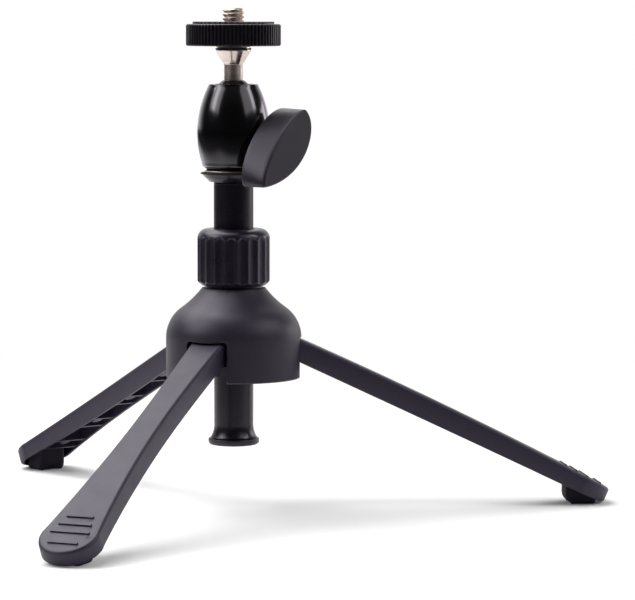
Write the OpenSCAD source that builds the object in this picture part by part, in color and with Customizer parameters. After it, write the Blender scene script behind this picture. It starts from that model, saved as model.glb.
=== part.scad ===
// Table-top mini tripod with a ball head: three folding legs, a sliding centre column with a twist
// lock, and a ball clamp that carries a camera screw and its knurled lock disc.
// Millimetres, +Z up. The origin is on the column's axis at table level, and leg 1 points along +X.

/* [Legs] */
// Length of a leg, from its hinge pin to its tip
leg_len = 110.5; // [95:0.5:125]
// Slope of an open leg below the horizontal
leg_slope = 25.4; // [22:0.1:30]
// Width of a leg at the hub
leg_root_w = 11; // [8:0.1:11.5]
// Width of a leg at its waist
leg_waist_w = 8.8; // [8:0.1:11]
// Distance of the waist from the hinge
leg_waist_u = 40; // [30:0.5:55]
// Width of a leg at its rounded foot
leg_foot_w = 17.4; // [14:0.1:19]
// Thickness of a leg at the hinge
leg_root_t = 6.2; // [5:0.1:6.6]
// Thickness of a leg at the tip
leg_tip_t = 4.7; // [4:0.1:5.2]
// How far the middle of the top surface bows up
leg_bow = 1.05; // [0:0.05:1.2]
// Gap between the table and a leg's tip, which is trimmed level under it
leg_tip_gap = 0.2; // [0.1:0.05:1]
// Thickness of a leg's top skin
leg_skin = 1.5; // [1:0.1:2]
// Thickness of a leg's side walls
leg_wall = 1.3; // [1:0.1:1.8]
// Solid length between the hinge and the first pocket
leg_solid_len = 9; // [7:0.5:12]
// Number of pocket pairs under a leg
leg_cells = 4; // [2:1:5]
// Thickness of the cross ribs under a leg
leg_rib_t = 1; // [0.8:0.1:1.5]
// How far the ribs stay above the rim of the walls
leg_rib_recess = 0.4; // [0:0.1:1]
// Share of a pocket pair that the long pocket takes
leg_long_share = 0.66; // [0.55:0.01:0.7]
// Diameter of the round post in each short pocket
leg_post_d = 3.4; // [2.4:0.1:4]

/* [Foot] */
// Height of a leg's underside above the table at the middle of its pad
pad_h = 3.4; // [3:0.1:5]
// Distance of the rubber pad's centre behind the tip, along the leg
pad_back = 8.1; // [7.5:0.1:9.5]
// Length of the rubber pad along the leg
pad_len = 9.2; // [8:0.1:10]
// Width of the rubber pad across the leg
pad_w = 9.2; // [8:0.1:10]
// Rounding of the pad's upright corners
pad_corner = 1.6; // [1:0.1:2.5]
// Rounding of the pad's lower edge
pad_round = 1.3; // [0.5:0.1:2]
// Rounding of the pad's lower edge on the side towards the hub
pad_heel = 3; // [1:0.1:3.5]
// Number of raised treads on top of the foot
tread_count = 4; // [2:1:4]
// Distance from the last tread's lower end to the tip
tread_tip_gap = 2.3; // [2:0.1:3.5]
// Spacing of the treads along the leg
tread_pitch = 4; // [3.8:0.1:4.5]
// Length of the widest tread
tread_len = 3.1; // [2:0.1:3.4]
// Height of a tread's upper end
tread_rise = 0.5; // [0.3:0.1:0.8]
// Width of the widest tread
tread_w = 11.6; // [9:0.1:12]
// Depth of the groove at a tread's lower end
tread_groove = 0.35; // [0.2:0.05:0.5]

/* [Hub] */
// Outside diameter of the bell-shaped hub
hub_d = 40.2; // [39:0.1:44]
// Height of the hub, from its lower edge to its flat top
hub_h = 26.7; // [26:0.1:30]
// Radius of the hub's rounded shoulder
hub_shoulder_r = 10.8; // [9:0.1:11.5]
// Height of the shoulder's lower end above the hub's lower edge
hub_skirt_h = 11.9; // [11:0.1:13]
// Angle that the shoulder's arc turns through before the hollow flank starts
hub_turn = 54.5; // [50:0.5:58]
// How far the flank is hollow
hub_sag = 0.45; // [0.2:0.05:0.6]
// Diameter of the hub's flat top
hub_top_d = 18.8; // [18.4:0.1:19.6]
// Wall of the hub shell
hub_wall = 2; // [1.5:0.1:2.4]
// Distance of the leg pins from the column's axis
hinge_r = 13.5; // [13:0.1:14.5]
// Height of the leg pins above the hub's lower edge
hinge_h = 10.7; // [9:0.1:11.5]
// Diameter of a leg pin
pin_d = 2.5; // [2:0.1:2.8]
// Gap on each side of a leg in its slot in the shell
slot_gap = 0.8; // [0.6:0.1:1.4]
// Gap above an open leg in its slot
slot_top_gap = 0.45; // [0.4:0.05:1.5]
// Radius of a slot's upper corners
slot_round = 1.6; // [0.5:0.1:2.4]
// Thickness of each ear that holds a leg pin
ear_t = 2.2; // [1.6:0.1:2.4]
// Gap between a leg and each ear
ear_gap = 0.25; // [0.15:0.05:0.4]
// Thickness of the core's base plate
base_t = 3; // [2.6:0.1:3.4]
// How far the base plate sits above the hub's lower edge
base_recess = 1; // [0.6:0.1:1.2]
// Distance of the core's screws from the axis
screw_ring_r = 13.2; // [12.8:0.1:13.6]
// Diameter of the core's screws
screw_d = 2.2; // [2:0.1:2.6]
// Head diameter of the core's screws
screw_head_d = 4.4; // [4:0.1:4.8]
// Head height of the core's screws
screw_head_h = 1.3; // [1:0.1:1.6]
// Length of the core's screws under the head
screw_len = 9; // [7:0.5:10]

/* [Column] */
// Outside diameter of the sliding column
column_d = 11.7; // [11:0.1:12.2]
// Wall of the column tube
column_wall = 1.4; // [1:0.1:1.8]
// Height of the column's lower end above the table
column_foot_z = 21.5; // [20:0.1:24]
// Length of the column tube
column_len = 75.4; // [72:0.1:82]
// Diameter of the flared lower end of the column
flare_d = 13.7; // [13:0.1:14.2]
// Height of the flare
flare_h = 3.8; // [3:0.1:5]
// Diameter of the end cap
end_cap_d = 15.1; // [14:0.1:15.6]
// Thickness of the end cap's disc
end_cap_t = 1.9; // [1.6:0.1:3.5]
// Depth of the plugs inside the column's ends
plug_len = 8; // [6:0.5:10]
// Lower diameter of the tapered top cap
top_cap_low_d = 14.2; // [13.4:0.1:15]
// Upper diameter of the tapered top cap
top_cap_d = 17.8; // [17:0.1:18.4]
// Height of the tapered top cap
top_cap_h = 2; // [1.6:0.1:2.6]

/* [Twist lock] */
// Outside diameter of the lock nut
nut_d = 21.5; // [21:0.1:23]
// Height of the lock nut
nut_h = 16.7; // [16.4:0.1:18]
// Gap between the tightened nut and the hub's top
nut_gap = 0.8; // [0.6:0.1:1.2]
// Rounding of the nut's upper edge
nut_round = 2.9; // [2:0.1:3]
// Chamfer of the nut's lower edge
nut_chamfer = 1.2; // [0.8:0.1:1.6]
// Number of flutes round the nut
nut_flutes = 20; // [16:1:24]
// Depth of each flute
flute_depth = 0.55; // [0.3:0.05:0.7]
// Distance from the nut's top to the top of the flutes
flute_top = 2.6; // [2.2:0.1:3.4]
// Outside diameter of the hub's threaded collar
collar_d = 16.4; // [16:0.1:17]
// Wall of the threaded collar
collar_wall = 1; // [0.8:0.05:1.1]
// Height of the threaded collar above the hub's top
collar_h = 12.4; // [12:0.1:13]
// Number of slits in the split sleeve
sleeve_slits = 6; // [4:1:8]
// Width of the slits in the split sleeve
slit_w = 0.8; // [0.5:0.1:1]
// How far the sleeve's tapered fingers stand above the collar
finger_h = 2; // [1.6:0.1:2.2]

/* [Ball head] */
// Largest diameter of the barrel-shaped housing
housing_d = 21.4; // [21:0.1:22.4]
// Height of the housing
housing_h = 25; // [24.6:0.1:26]
// Height of the housing's largest diameter above its lower end
housing_belly_h = 10.8; // [10:0.1:12]
// Radius of the housing's bowed sides
housing_bow_r = 30.5; // [27:0.5:36]
// Rounding of the housing's lower edge
housing_round = 1.5; // [1:0.1:2]
// Diameter of the bore inside the housing
chamber_d = 14; // [13.6:0.1:14.4]
// Diameter of the thin flange under the head
flange_d = 19.5; // [18.8:0.1:20]
// Thickness of the flange
flange_t = 1.3; // [1:0.1:1.6]
// Thickness of the flange's sharp edge
flange_edge_t = 0.5; // [0.3:0.1:0.8]
// Diameter of the friction washer between flange and housing
pan_washer_d = 16.6; // [16:0.1:17]
// Thickness of the friction washer
pan_washer_t = 1.15; // [0.8:0.05:1.5]
// Diameter of the ball
ball_d = 12; // [11.6:0.1:12.2]
// Height of the ball's centre above the housing's lower end
ball_rise = 20.9; // [20.6:0.1:21.2]
// Diameter of the opening in the housing's rim
mouth_d = 10.4; // [10.2:0.1:10.8]
// Depth of the flare in the housing's rim
mouth_flare = 0.8; // [0.6:0.1:1]
// Height of the cup under the ball
seat_h = 4.6; // [4.2:0.1:5]

/* [Clamp knob] */
// Direction of the knob's axis round the column, from leg 1
knob_az = -50; // [-60:1:-40]
// Height of the knob's axis above the housing's lower end
knob_rise = 5.6; // [5.4:0.1:5.8]
// Distance of the knob's back from the column's axis
knob_back = 12; // [11.6:0.1:13]
// Thickness of the knob
knob_t = 8.7; // [7:0.1:10]
// Length of the leaf-shaped knob
knob_len = 28.4; // [25:0.1:31]
// Bulge of the knob's full side
knob_bulge = 7.9; // [7:0.1:9.5]
// Bulge of the knob's flat side at its face
knob_flat_face = 3.6; // [3.4:0.1:4.5]
// Bulge of the knob's flat side at its back
knob_flat_back = 6.2; // [5:0.1:7]
// Shift of the full side's crest along the knob
knob_skew = 2.6; // [0:0.1:4]
// Tilt of the knob's long axis from the horizontal
knob_tilt = 51; // [0:1:90]
// Shift of the knob's leaf along its long axis, from its screw
knob_shift = 1.1; // [0:0.1:2]
// Diameter of the clamp screw
clamp_d = 5; // [4.6:0.1:5.2]
// Travel of the clamp screw in one full turn
clamp_lead = 0.8; // [0.5:0.1:1]

/* [Camera screw] */
// Outside diameter of the camera thread
stud_d = 6.35; // [6.35:0.01:6.35]
// Length of the camera screw above the pad
stud_h = 4; // [3.6:0.1:5.5]
// Diameter of the stem's neck
neck_d = 5.5; // [4.8:0.1:5.8]
// Length of the neck above the ball
neck_h = 4.6; // [4:0.1:6]
// Diameter of the cone's wide end
cone_d = 10.4; // [10:0.1:11]
// Height of the cone
cone_h = 4.4; // [4:0.1:5.5]
// Thickness of the washer under the lock disc
washer_t = 1; // [0.6:0.1:1.4]
// Diameter of the knurled lock disc
disc_d = 28; // [26:0.1:30]
// Thickness of the lock disc
disc_t = 6.5; // [6:0.1:7.5]
// Rounding of the lock disc's edges
disc_round = 0.6; // [0.3:0.1:1]
// Diameter of the ribbed pad on the lock disc
pad_ring_d = 24.1; // [22:0.1:24.6]
// Thickness of the ribbed pad
pad_ring_t = 0.7; // [0.6:0.1:1]
// Diameter of the opening in the ribbed pad
pad_ring_bore = 9; // [8:0.1:10]

/* [Fits] */
// Radial clearance between pieces that turn or slide on each other
run_gap = 0.05; // [0.02:0.01:0.08]
// Radial clearance between pieces that are fixed together
seat_gap = 0.02; // [0.01:0.01:0.04]

/* [Hidden] */
$fn = 96;

// How far a cut runs past the face it opens
OVER = 1;
// Overlap of two shapes that are joined or cut along a shared face
EPS = 0.01;
LEG_TURN = 120;
SCREW_ANGLES = [60 : LEG_TURN : 300];
function arc(cx, cy, r, from, to, steps) =
    [for (i = [0 : steps]) let (a = from + (to - from) * i / steps) [cx + r * cos(a), cy + r * sin(a)]];

// Heights of the legs and the hub
leg_half_t = leg_root_t / 2;
pad_u = leg_len - pad_back;
hinge_z = pad_h + pad_u * sin(leg_slope) + leg_half_t * cos(leg_slope);
hub_z = hinge_z - hinge_h;
hub_top_z = hub_z + hub_h;
base_z = hub_z + base_recess;
base_top_z = base_z + base_t;

// The column and the twist lock
column_r = column_d / 2;
bore_r = column_r - column_wall;
column_top_z = column_foot_z + column_len;
nut_z = hub_top_z + nut_gap;
collar_top_z = hub_top_z + collar_h;
sleeve_r = collar_d / 2 - collar_wall - run_gap;
sleeve_bore_r = column_r + run_gap;
sleeve_foot_gap = 1;
sleeve_z = base_top_z + sleeve_foot_gap;
finger_top_z = collar_top_z + finger_h;
guide_r = sleeve_r + run_gap;

// The head, from the column's top cap up
flange_z = column_top_z + top_cap_h;
pan_washer_z = flange_z + flange_t;
housing_z = pan_washer_z + pan_washer_t;
housing_top_z = housing_z + housing_h;
ball_z = housing_z + ball_rise;
ball_r = ball_d / 2;
chamber_r = chamber_d / 2;
knob_z = housing_z + knob_rise;

module on_leg(k) rotate([0, 0, LEG_TURN * k]) children();

// ---- Legs ----
// A leg's own frame: X runs down the leg from its hinge, Y across it, Z out of its top surface.
module leg_frame(k) {
    rotate([0, 0, LEG_TURN * k])
        translate([hinge_r, 0, hinge_z])
            rotate([0, leg_slope, 0])
                children();
}

function leg_top(u) = let (x = u / leg_len)
    leg_root_t / 2 + (leg_tip_t - leg_root_t) * x + 4 * leg_bow * x * (1 - x);

// Half width: narrows to the waist, then flares into the rounded foot
leg_foot_u = leg_len - leg_foot_w / 2;
function leg_half_w(u) = let (
        above = u < leg_waist_u,
        x = (u - leg_waist_u) / (above ? leg_waist_u : leg_foot_u - leg_waist_u),
        end_w = above ? leg_root_w : leg_foot_w)
    (leg_waist_w + (end_w - leg_waist_w) * x * x) / 2;

// Outline seen from above, set in by a margin
module leg_plan(margin) {
    lean = atan((leg_foot_w - leg_waist_w) / (leg_foot_u - leg_waist_u));
    foot = leg_foot_w / 2 - margin;
    last = leg_foot_u - leg_foot_w / 2 * sin(lean);
    steps = 16;
    flank = [for (i = [0 : steps - 1]) let (u = last * i / steps) [u, leg_half_w(u) - margin]];
    polygon(concat(
        [[-leg_half_t, margin - leg_root_w / 2]],
        [for (p = flank) [p[0], -p[1]]],
        arc(leg_foot_u, 0, foot, -90 - lean, 90 + lean, 32),
        [for (i = [steps - 1 : -1 : 0]) flank[i]],
        [[-leg_half_t, leg_root_w / 2 - margin]]));
}

// Outline seen from the side, with its top lowered by a depth
module leg_side(depth, start, below) {
    steps = 24;
    end = leg_len + OVER;
    polygon(concat(
        [[start, -leg_half_t - below], [end, -leg_half_t - below]],
        [for (i = [steps : -1 : 0]) let (u = start + (end - start) * i / steps)
            [u, leg_top(max(u, 0)) - depth]]));
}

// Solid between both outlines; its underside can be lowered
module leg_slab(margin, depth, start, below) {
    intersection() {
        rotate([90, 0, 0])
            linear_extrude(height = 2 * leg_foot_w, center = true)
                leg_side(depth, start, below);
        translate([0, 0, -leg_root_t - below])
            linear_extrude(height = 3 * leg_root_t + below)
                leg_plan(margin);
    }
}

rib_pad_gap = 0.3;
rib_from = leg_solid_len;
pad_heel_u = pad_u - (pad_len / 2 + leg_root_t * sin(leg_slope)) / cos(leg_slope);
rib_to = pad_heel_u - leg_rib_t - rib_pad_gap;
cell_len = (rib_to - rib_from) / leg_cells;

module leg_ribs() {
    for (i = [0 : leg_cells]) {
        u = rib_from + i * cell_len;
        leg_rib(u);
        if (i < leg_cells) {
            leg_rib(u + leg_long_share * cell_len);
            translate([u + (1 + leg_long_share) / 2 * cell_len, 0, -leg_half_t + 2 * leg_rib_recess])
                cylinder(d = leg_post_d, h = leg_root_t);
        }
    }
}
module leg_rib(u)
    translate([u, -leg_foot_w / 2, -leg_half_t + leg_rib_recess])
        cube([leg_rib_t, leg_foot_w, leg_root_t]);

module leg_pocket() {
    difference() {
        leg_slab(leg_wall, leg_skin, leg_solid_len, OVER);
        leg_ribs();
    }
}

// Each tread's share of the widest one's width and length, from the tip up
tread_span = [0.76, 1, 0.84, 0.68];
module tread(i) {
    u1 = leg_len - tread_tip_gap - i * tread_pitch;
    u0 = u1 - tread_len * tread_span[i];
    w = tread_w * tread_span[i];
    rotate([90, 0, 0])
        linear_extrude(height = w, center = true)
            polygon([[u0, leg_top(u0) - leg_skin / 2], [u0, leg_top(u0) + tread_rise],
                     [u1, leg_top(u1)], [u1, leg_top(u1) - leg_skin / 2]]);
}
module tread_slot(i) {
    u1 = leg_len - tread_tip_gap - i * tread_pitch;
    w = tread_w * tread_span[i];
    translate([u1 - tread_groove, -w / 2, leg_top(u1) - tread_groove])
        cube([2 * tread_groove, w, 2 * leg_skin]);
}

module leg(k) {
    color([0.16, 0.155, 0.18])
    difference() {
        leg_frame(k)
            difference() {
                union() {
                    leg_slab(0, 0, 0, 0);
                    rotate([90, 0, 0])
                        cylinder(r = leg_half_t, h = leg_root_w, center = true);
                    for (i = [0 : tread_count - 1])
                        tread(i);
                }
                for (i = [0 : tread_count - 1])
                    tread_slot(i);
                leg_pocket();
                rotate([90, 0, 0])
                    cylinder(d = pin_d + 2 * run_gap, h = 2 * leg_root_w, center = true);
            }
        on_leg(k)
            translate([hinge_r, -leg_foot_w, leg_tip_gap - leg_len])
                cube([2 * leg_len, 2 * leg_foot_w, leg_len]);
    }
}

// An upright block with rounded corners and a rounded lower edge, cut off under the leg's skin
module foot_pad(k) {
    pad_x = hinge_r + pad_u * cos(leg_slope) - leg_half_t * sin(leg_slope);
    tall = 4 * leg_root_t;
    color([0.05, 0.05, 0.055])
    intersection() {
        on_leg(k)
            translate([pad_x, 0, 0])
                intersection() {
                    linear_extrude(height = tall)
                        pad_plan();
                    rotate([90, 0, 0])
                        linear_extrude(height = 2 * pad_w, center = true)
                            pad_side(pad_len / 2, pad_heel, pad_round);
                    rotate([90, 0, 90])
                        linear_extrude(height = 2 * pad_len, center = true)
                            pad_side(pad_w / 2, pad_round, pad_round);
                }
        leg_frame(k)
            leg_slab(leg_wall, leg_skin, leg_solid_len, 2 * leg_root_t);
    }
}
module pad_plan() {
    x = pad_len / 2 - pad_corner;
    y = pad_w / 2 - pad_corner;
    polygon(concat(arc(x, y, pad_corner, 0, 90, 8), arc(-x, y, pad_corner, 90, 180, 8),
                   arc(-x, -y, pad_corner, 180, 270, 8), arc(x, -y, pad_corner, 270, 360, 8)));
}
module pad_side(half, r_left, r_right) {
    tall = 4 * leg_root_t;
    polygon(concat([[-half, tall]], arc(r_left - half, r_left, r_left, 180, 270, 8),
                   arc(half - r_right, r_right, r_right, 270, 360, 8), [[half, tall]]));
}

module leg_pin(k) {
    color([0.6, 0.6, 0.62])
    leg_frame(k)
        rotate([90, 0, 0])
            cylinder(d = pin_d, h = 2 * ear_out, center = true);
}

// ---- Hub ----
ear_in = leg_root_w / 2 + ear_gap;
ear_out = ear_in + ear_t;
hub_r = hub_d / 2;

// Bell outline: the shoulder's arc turns into a hollow flank that ends at the flat top
function bell(inset) = let (
        cx = hub_r - hub_shoulder_r,
        cz = hub_z + hub_skirt_h,
        r = hub_shoulder_r - inset,
        bx = cx + r * cos(hub_turn),
        bz = cz + r * sin(hub_turn),
        tx = hub_top_d / 2 - inset,
        tz = hub_top_z - inset)
    concat(
        [[hub_r - inset, hub_z]],
        arc(cx, cz, r, 0, hub_turn, 16),
        [for (i = [1 : 8]) let (t = i / 8, dip = 2 * hub_sag * t * (1 - t))
            [bx + (tx - bx) * t - dip, bz + (tz - bz) * t - dip]]);

// Opening for a leg in the shell, which runs along the leg, with rounded upper corners
module leg_slot() {
    half = leg_root_w / 2 + slot_gap;
    top = leg_top((hub_r - hinge_r) / cos(leg_slope)) + slot_top_gap;
    rotate([90, 0, 90])
        linear_extrude(height = hub_r)
            polygon(concat([[half, -2 * hinge_h]],
                           arc(half - slot_round, top - slot_round, slot_round, 0, 90, 8),
                           arc(slot_round - half, top - slot_round, slot_round, 90, 180, 8),
                           [[-half, -2 * hinge_h]]));
}

module hub_shell() {
    color([0.17, 0.165, 0.19])
    difference() {
        union() {
            rotate_extrude()
                difference() {
                    polygon(concat([[0, hub_z]], bell(0), [[0, hub_top_z]]));
                    polygon(concat([[0, hub_z - OVER], [hub_r - hub_wall, hub_z - OVER]], bell(hub_wall),
                                   [[0, hub_top_z - hub_wall]]));
                }
            translate([0, 0, hub_top_z - hub_wall])
                cylinder(d = collar_d, h = collar_h + hub_wall);
            intersection() {
                for (a = SCREW_ANGLES)
                    rotate([0, 0, a])
                        translate([screw_ring_r, 0, base_top_z])
                            cylinder(d = screw_d + 2 * screw_post_wall, h = hub_h);
                translate([0, 0, -EPS])
                    rotate_extrude()
                        polygon(concat([[0, hub_z]], bell(hub_wall / 2), [[0, hub_top_z]]));
            }
        }
        translate([0, 0, hub_top_z - 2 * hub_wall])
            cylinder(r = guide_r, h = collar_h + 3 * hub_wall);
        for (a = SCREW_ANGLES)
            rotate([0, 0, a])
                translate([screw_ring_r, 0, base_top_z - OVER])
                    cylinder(d = screw_d + 2 * seat_gap, h = screw_len - base_t + screw_head_h + 2 * OVER);
        for (k = [0 : 2])
            leg_frame(k)
                leg_slot();
    }
}

screw_post_wall = 1.5;
screw_recess = 0.3;
core_gap = 0.3;
core_r = hub_r - hub_wall - core_gap;
core_tube_wall = 0.9;
core_tube_r = guide_r + core_tube_wall;
core_tube_drop = 1.3;
core_tube_top_z = hub_top_z - hub_wall - core_tube_drop;
ear_over = 1.5;
ear_top_z = hinge_z + leg_half_t + ear_over;
ear_trim = 0.2;
module hub_core() {
    color([0.1, 0.1, 0.11])
    difference() {
        union() {
            translate([0, 0, base_z])
                cylinder(r = core_r, h = base_t);
            translate([0, 0, base_z])
                cylinder(r = core_tube_r, h = core_tube_top_z - base_z);
            intersection() {
                for (k = [0 : 2]) {
                    leg_ears(k);
                    leg_stop(k);
                }
                rotate_extrude()
                    polygon(concat([[0, hub_z]], bell(hub_wall + core_gap + ear_trim), [[0, hub_top_z]]));
            }
        }
        translate([0, 0, base_z - OVER])
            cylinder(r = sleeve_bore_r, h = hub_h);
        translate([0, 0, sleeve_z - run_gap])
            cylinder(r = guide_r, h = hub_h);
        for (k = [0 : 2]) {
            on_leg(k)
                translate([hinge_r - leg_half_t - ear_gap, -ear_in, base_z - OVER])
                    cube([hub_r, 2 * ear_in, base_t + 2 * OVER]);
            leg_frame(k)
                rotate([90, 0, 0])
                    cylinder(d = pin_d + 2 * seat_gap, h = 2 * ear_out + OVER, center = true);
        }
        for (a = SCREW_ANGLES)
            rotate([0, 0, a])
                translate([screw_ring_r, 0, base_z - OVER]) {
                    cylinder(d = screw_d + 2 * seat_gap, h = base_t + 2 * OVER);
                    cylinder(d = screw_head_d + 4 * seat_gap, h = OVER + screw_head_h + screw_recess);
                }
    }
}
// Two ears that carry a leg's pin, rooted half-way into the base plate and in the tube
ear_x = column_r + 1;
ear_rim = 1;
module leg_ears(k) {
    low = base_z + base_t / 2;
    on_leg(k)
        for (side = [-1, 1])
            translate([ear_x, side > 0 ? ear_in : -ear_out, low])
                cube([hinge_r + leg_half_t + ear_rim - ear_x, ear_t, ear_top_z - low]);
}
// Bar between two ears that an open leg's top surface rests against
stop_u = 0.6;
stop_len = 2;
stop_t = 1.5;
stop_gap = 0.03;
module leg_stop(k)
    leg_frame(k)
        translate([stop_u, -ear_in - ear_t / 2, leg_top(stop_u + stop_len) + stop_gap])
            cube([stop_len, 2 * ear_in + ear_t, stop_t]);

// Screws with a cross recess in the head, let into the base plate from below
module hub_screws() {
    cross_len = 2.6;
    cross_w = 0.6;
    cross_depth = 0.7;
    color([0.7, 0.7, 0.72])
    for (a = SCREW_ANGLES)
        rotate([0, 0, a])
            translate([screw_ring_r, 0, base_z + screw_recess]) {
                difference() {
                    cylinder(d = screw_head_d, h = screw_head_h);
                    for (t = [0, 90])
                        rotate([0, 0, t])
                            translate([-cross_len / 2, -cross_w / 2, -OVER])
                                cube([cross_len, cross_w, cross_depth + OVER]);
                }
                cylinder(d = screw_d, h = screw_head_h + screw_len);
            }
}

// ---- Twist lock ----
// The nut pulls the ring down on the sleeve's tapered fingers, which grip the column
module collet_sleeve() {
    color([0.85, 0.84, 0.8])
    difference() {
        rotate_extrude()
            polygon([[sleeve_bore_r, sleeve_z], [sleeve_r, sleeve_z], [sleeve_r, collar_top_z],
                     [sleeve_r - finger_h / 2, finger_top_z], [sleeve_bore_r, finger_top_z]]);
        for (i = [0 : sleeve_slits - 1])
            rotate([0, 0, 360 / sleeve_slits * i])
                translate([0, -slit_w / 2, hub_top_z])
                    cube([nut_d, slit_w, nut_h + finger_h]);
    }
}

nut_bore_r = collar_d / 2 + run_gap;
nut_column_gap = 0.2;
nut_top_wall = 2;
ring_collar_gap = 0.3;
ring_z = collar_top_z + ring_collar_gap;
ring_h = nut_z + nut_h - nut_top_wall - ring_z;
module wedge_ring() {
    column_gap = 0.15;
    step_gap = 0.1;
    taper_gap = 0.07;
    bore = column_r + column_gap;
    rim = nut_bore_r - run_gap;
    step_z = finger_top_z + step_gap;
    color([0.75, 0.62, 0.3])
    rotate_extrude()
        polygon([[bore, step_z], [sleeve_r - finger_h / 2 + taper_gap, step_z],
                 [sleeve_r + seat_gap, ring_z], [rim, ring_z],
                 [rim, ring_z + ring_h], [bore, ring_z + ring_h]]);
}

module lock_nut() {
    top = nut_z + nut_h;
    r = nut_d / 2;
    flute_r = PI * nut_d / nut_flutes / 2;
    cut_r = (flute_r * flute_r + flute_depth * flute_depth) / (2 * flute_depth);
    flute_h = nut_h + OVER - flute_top - flute_depth;
    color([0.12, 0.12, 0.135])
    difference() {
        rotate_extrude()
            polygon(concat(
                [[0, nut_z], [r - nut_chamfer, nut_z], [r, nut_z + nut_chamfer]],
                arc(r - nut_round, top - nut_round, nut_round, 0, 90, 10),
                [[0, top]]));
        for (i = [0 : nut_flutes - 1])
            rotate([0, 0, 360 / nut_flutes * (i + 0.5)])
                translate([r - flute_depth + cut_r, 0, nut_z - OVER]) {
                    cylinder(r = cut_r, h = flute_h, $fn = 48);
                    translate([0, 0, flute_h])
                        cylinder(r1 = cut_r, r2 = cut_r - flute_depth, h = flute_depth, $fn = 48);
                }
        translate([0, 0, nut_z - OVER])
            cylinder(r = nut_bore_r, h = ring_z + ring_h - nut_z + OVER);
        translate([0, 0, nut_z])
            cylinder(r = column_r + nut_column_gap, h = nut_h + OVER);
    }
}

// ---- Column ----
module column_tube() {
    flare = (flare_d - column_d) / 2;
    flare_r = (flare * flare + flare_h * flare_h) / (2 * flare);
    sweep = asin(flare_h / flare_r);
    color([0.09, 0.088, 0.1])
    rotate_extrude()
        polygon(concat(
            [[bore_r, column_foot_z], [flare_d / 2, column_foot_z]],
            arc(column_r + flare_r, column_foot_z + flare_h, flare_r, 180 + sweep, 180, 8),
            [[column_r, column_top_z], [bore_r, column_top_z]]));
}

// Disc with a plug into the tube and a narrow dark seam under the flare
module column_end_cap() {
    seam = 0.25;
    seam_depth = 0.6;
    low_round = 1;
    top_round = 0.3;
    plug_wall = 1.2;
    r = end_cap_d / 2;
    top = column_foot_z - seam;
    low = top - end_cap_t;
    neck = flare_d / 2 - seam_depth;
    plug_r = bore_r - seat_gap;
    plug_top = column_foot_z + plug_len;
    color([0.11, 0.11, 0.12])
    rotate_extrude()
        polygon(concat(
            [[0, low]],
            arc(r - low_round, low + low_round, low_round, -90, 0, 8),
            arc(r - top_round, top - top_round, top_round, 0, 90, 4),
            [[neck, top], [neck, column_foot_z],
             [plug_r, column_foot_z], [plug_r, plug_top],
             [plug_r - plug_wall, plug_top], [plug_r - plug_wall, column_foot_z], [0, column_foot_z]]));
}

stud_r = stud_d / 2;
socket_floor = 1;
stud_clamp_gap = 0.5;
head_stud_z = column_top_z - plug_len + socket_floor;
head_stud_top_z = knob_z - clamp_d / 2 - stud_clamp_gap;
module column_top_cap() {
    color([0.09, 0.088, 0.1])
    difference() {
        rotate_extrude()
            polygon([[0, column_top_z - plug_len], [bore_r - seat_gap, column_top_z - plug_len],
                     [bore_r - seat_gap, column_top_z], [top_cap_low_d / 2, column_top_z],
                     [top_cap_d / 2, flange_z], [0, flange_z]]);
        translate([0, 0, head_stud_z])
            cylinder(r = stud_r + seat_gap, h = plug_len + top_cap_h);
    }
}

// Stud with a hexagon socket, screwed into the top cap and the housing's plug
module head_stud() {
    socket_d = 3.6;
    socket_depth = 2;
    color([0.7, 0.7, 0.72])
    difference() {
        translate([0, 0, head_stud_z])
            cylinder(r = stud_r, h = head_stud_top_z - head_stud_z);
        translate([0, 0, head_stud_top_z - socket_depth])
            cylinder(d = socket_d, h = socket_depth + OVER, $fn = 6);
    }
}

// Thin flange with a pointed edge and a sloping upper face
module head_flange() {
    r = flange_d / 2;
    half_edge = flange_edge_t / 2;
    land_margin = 0.3;
    land_r = pan_washer_d / 2 + land_margin;
    color([0.07, 0.07, 0.08])
    difference() {
        rotate_extrude()
            polygon([[0, flange_z], [r - half_edge, flange_z], [r, flange_z + half_edge],
                     [r - half_edge, flange_z + flange_edge_t],
                     [land_r, flange_z + flange_t], [0, flange_z + flange_t]]);
        translate([0, 0, flange_z - OVER])
            cylinder(r = stud_r + seat_gap, h = flange_t + 2 * OVER);
    }
}

module pan_washer() {
    color([0.04, 0.04, 0.04])
    difference() {
        translate([0, 0, pan_washer_z])
            cylinder(d = pan_washer_d, h = pan_washer_t);
        translate([0, 0, pan_washer_z - OVER])
            cylinder(r = stud_r + seat_gap, h = pan_washer_t + 2 * OVER);
    }
}

// ---- Ball head ----
// Frame of the knob: its Z axis is the clamp screw's, pointing out of the housing
module knob_frame() {
    translate([0, 0, knob_z])
        rotate([0, 0, knob_az])
            rotate([0, 90, 0])
                children();
}

function housing_r(z) = let (dz = z - housing_z - housing_belly_h)
    housing_d / 2 - housing_bow_r + sqrt(housing_bow_r * housing_bow_r - dz * dz);

plug_recess = 0.4;
plug_rim = 0.2;
plug_z = housing_z + plug_recess;
plug_top_z = head_stud_top_z + plug_rim;
ball_gap = 0.1;
mouth_r = mouth_d / 2;
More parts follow.
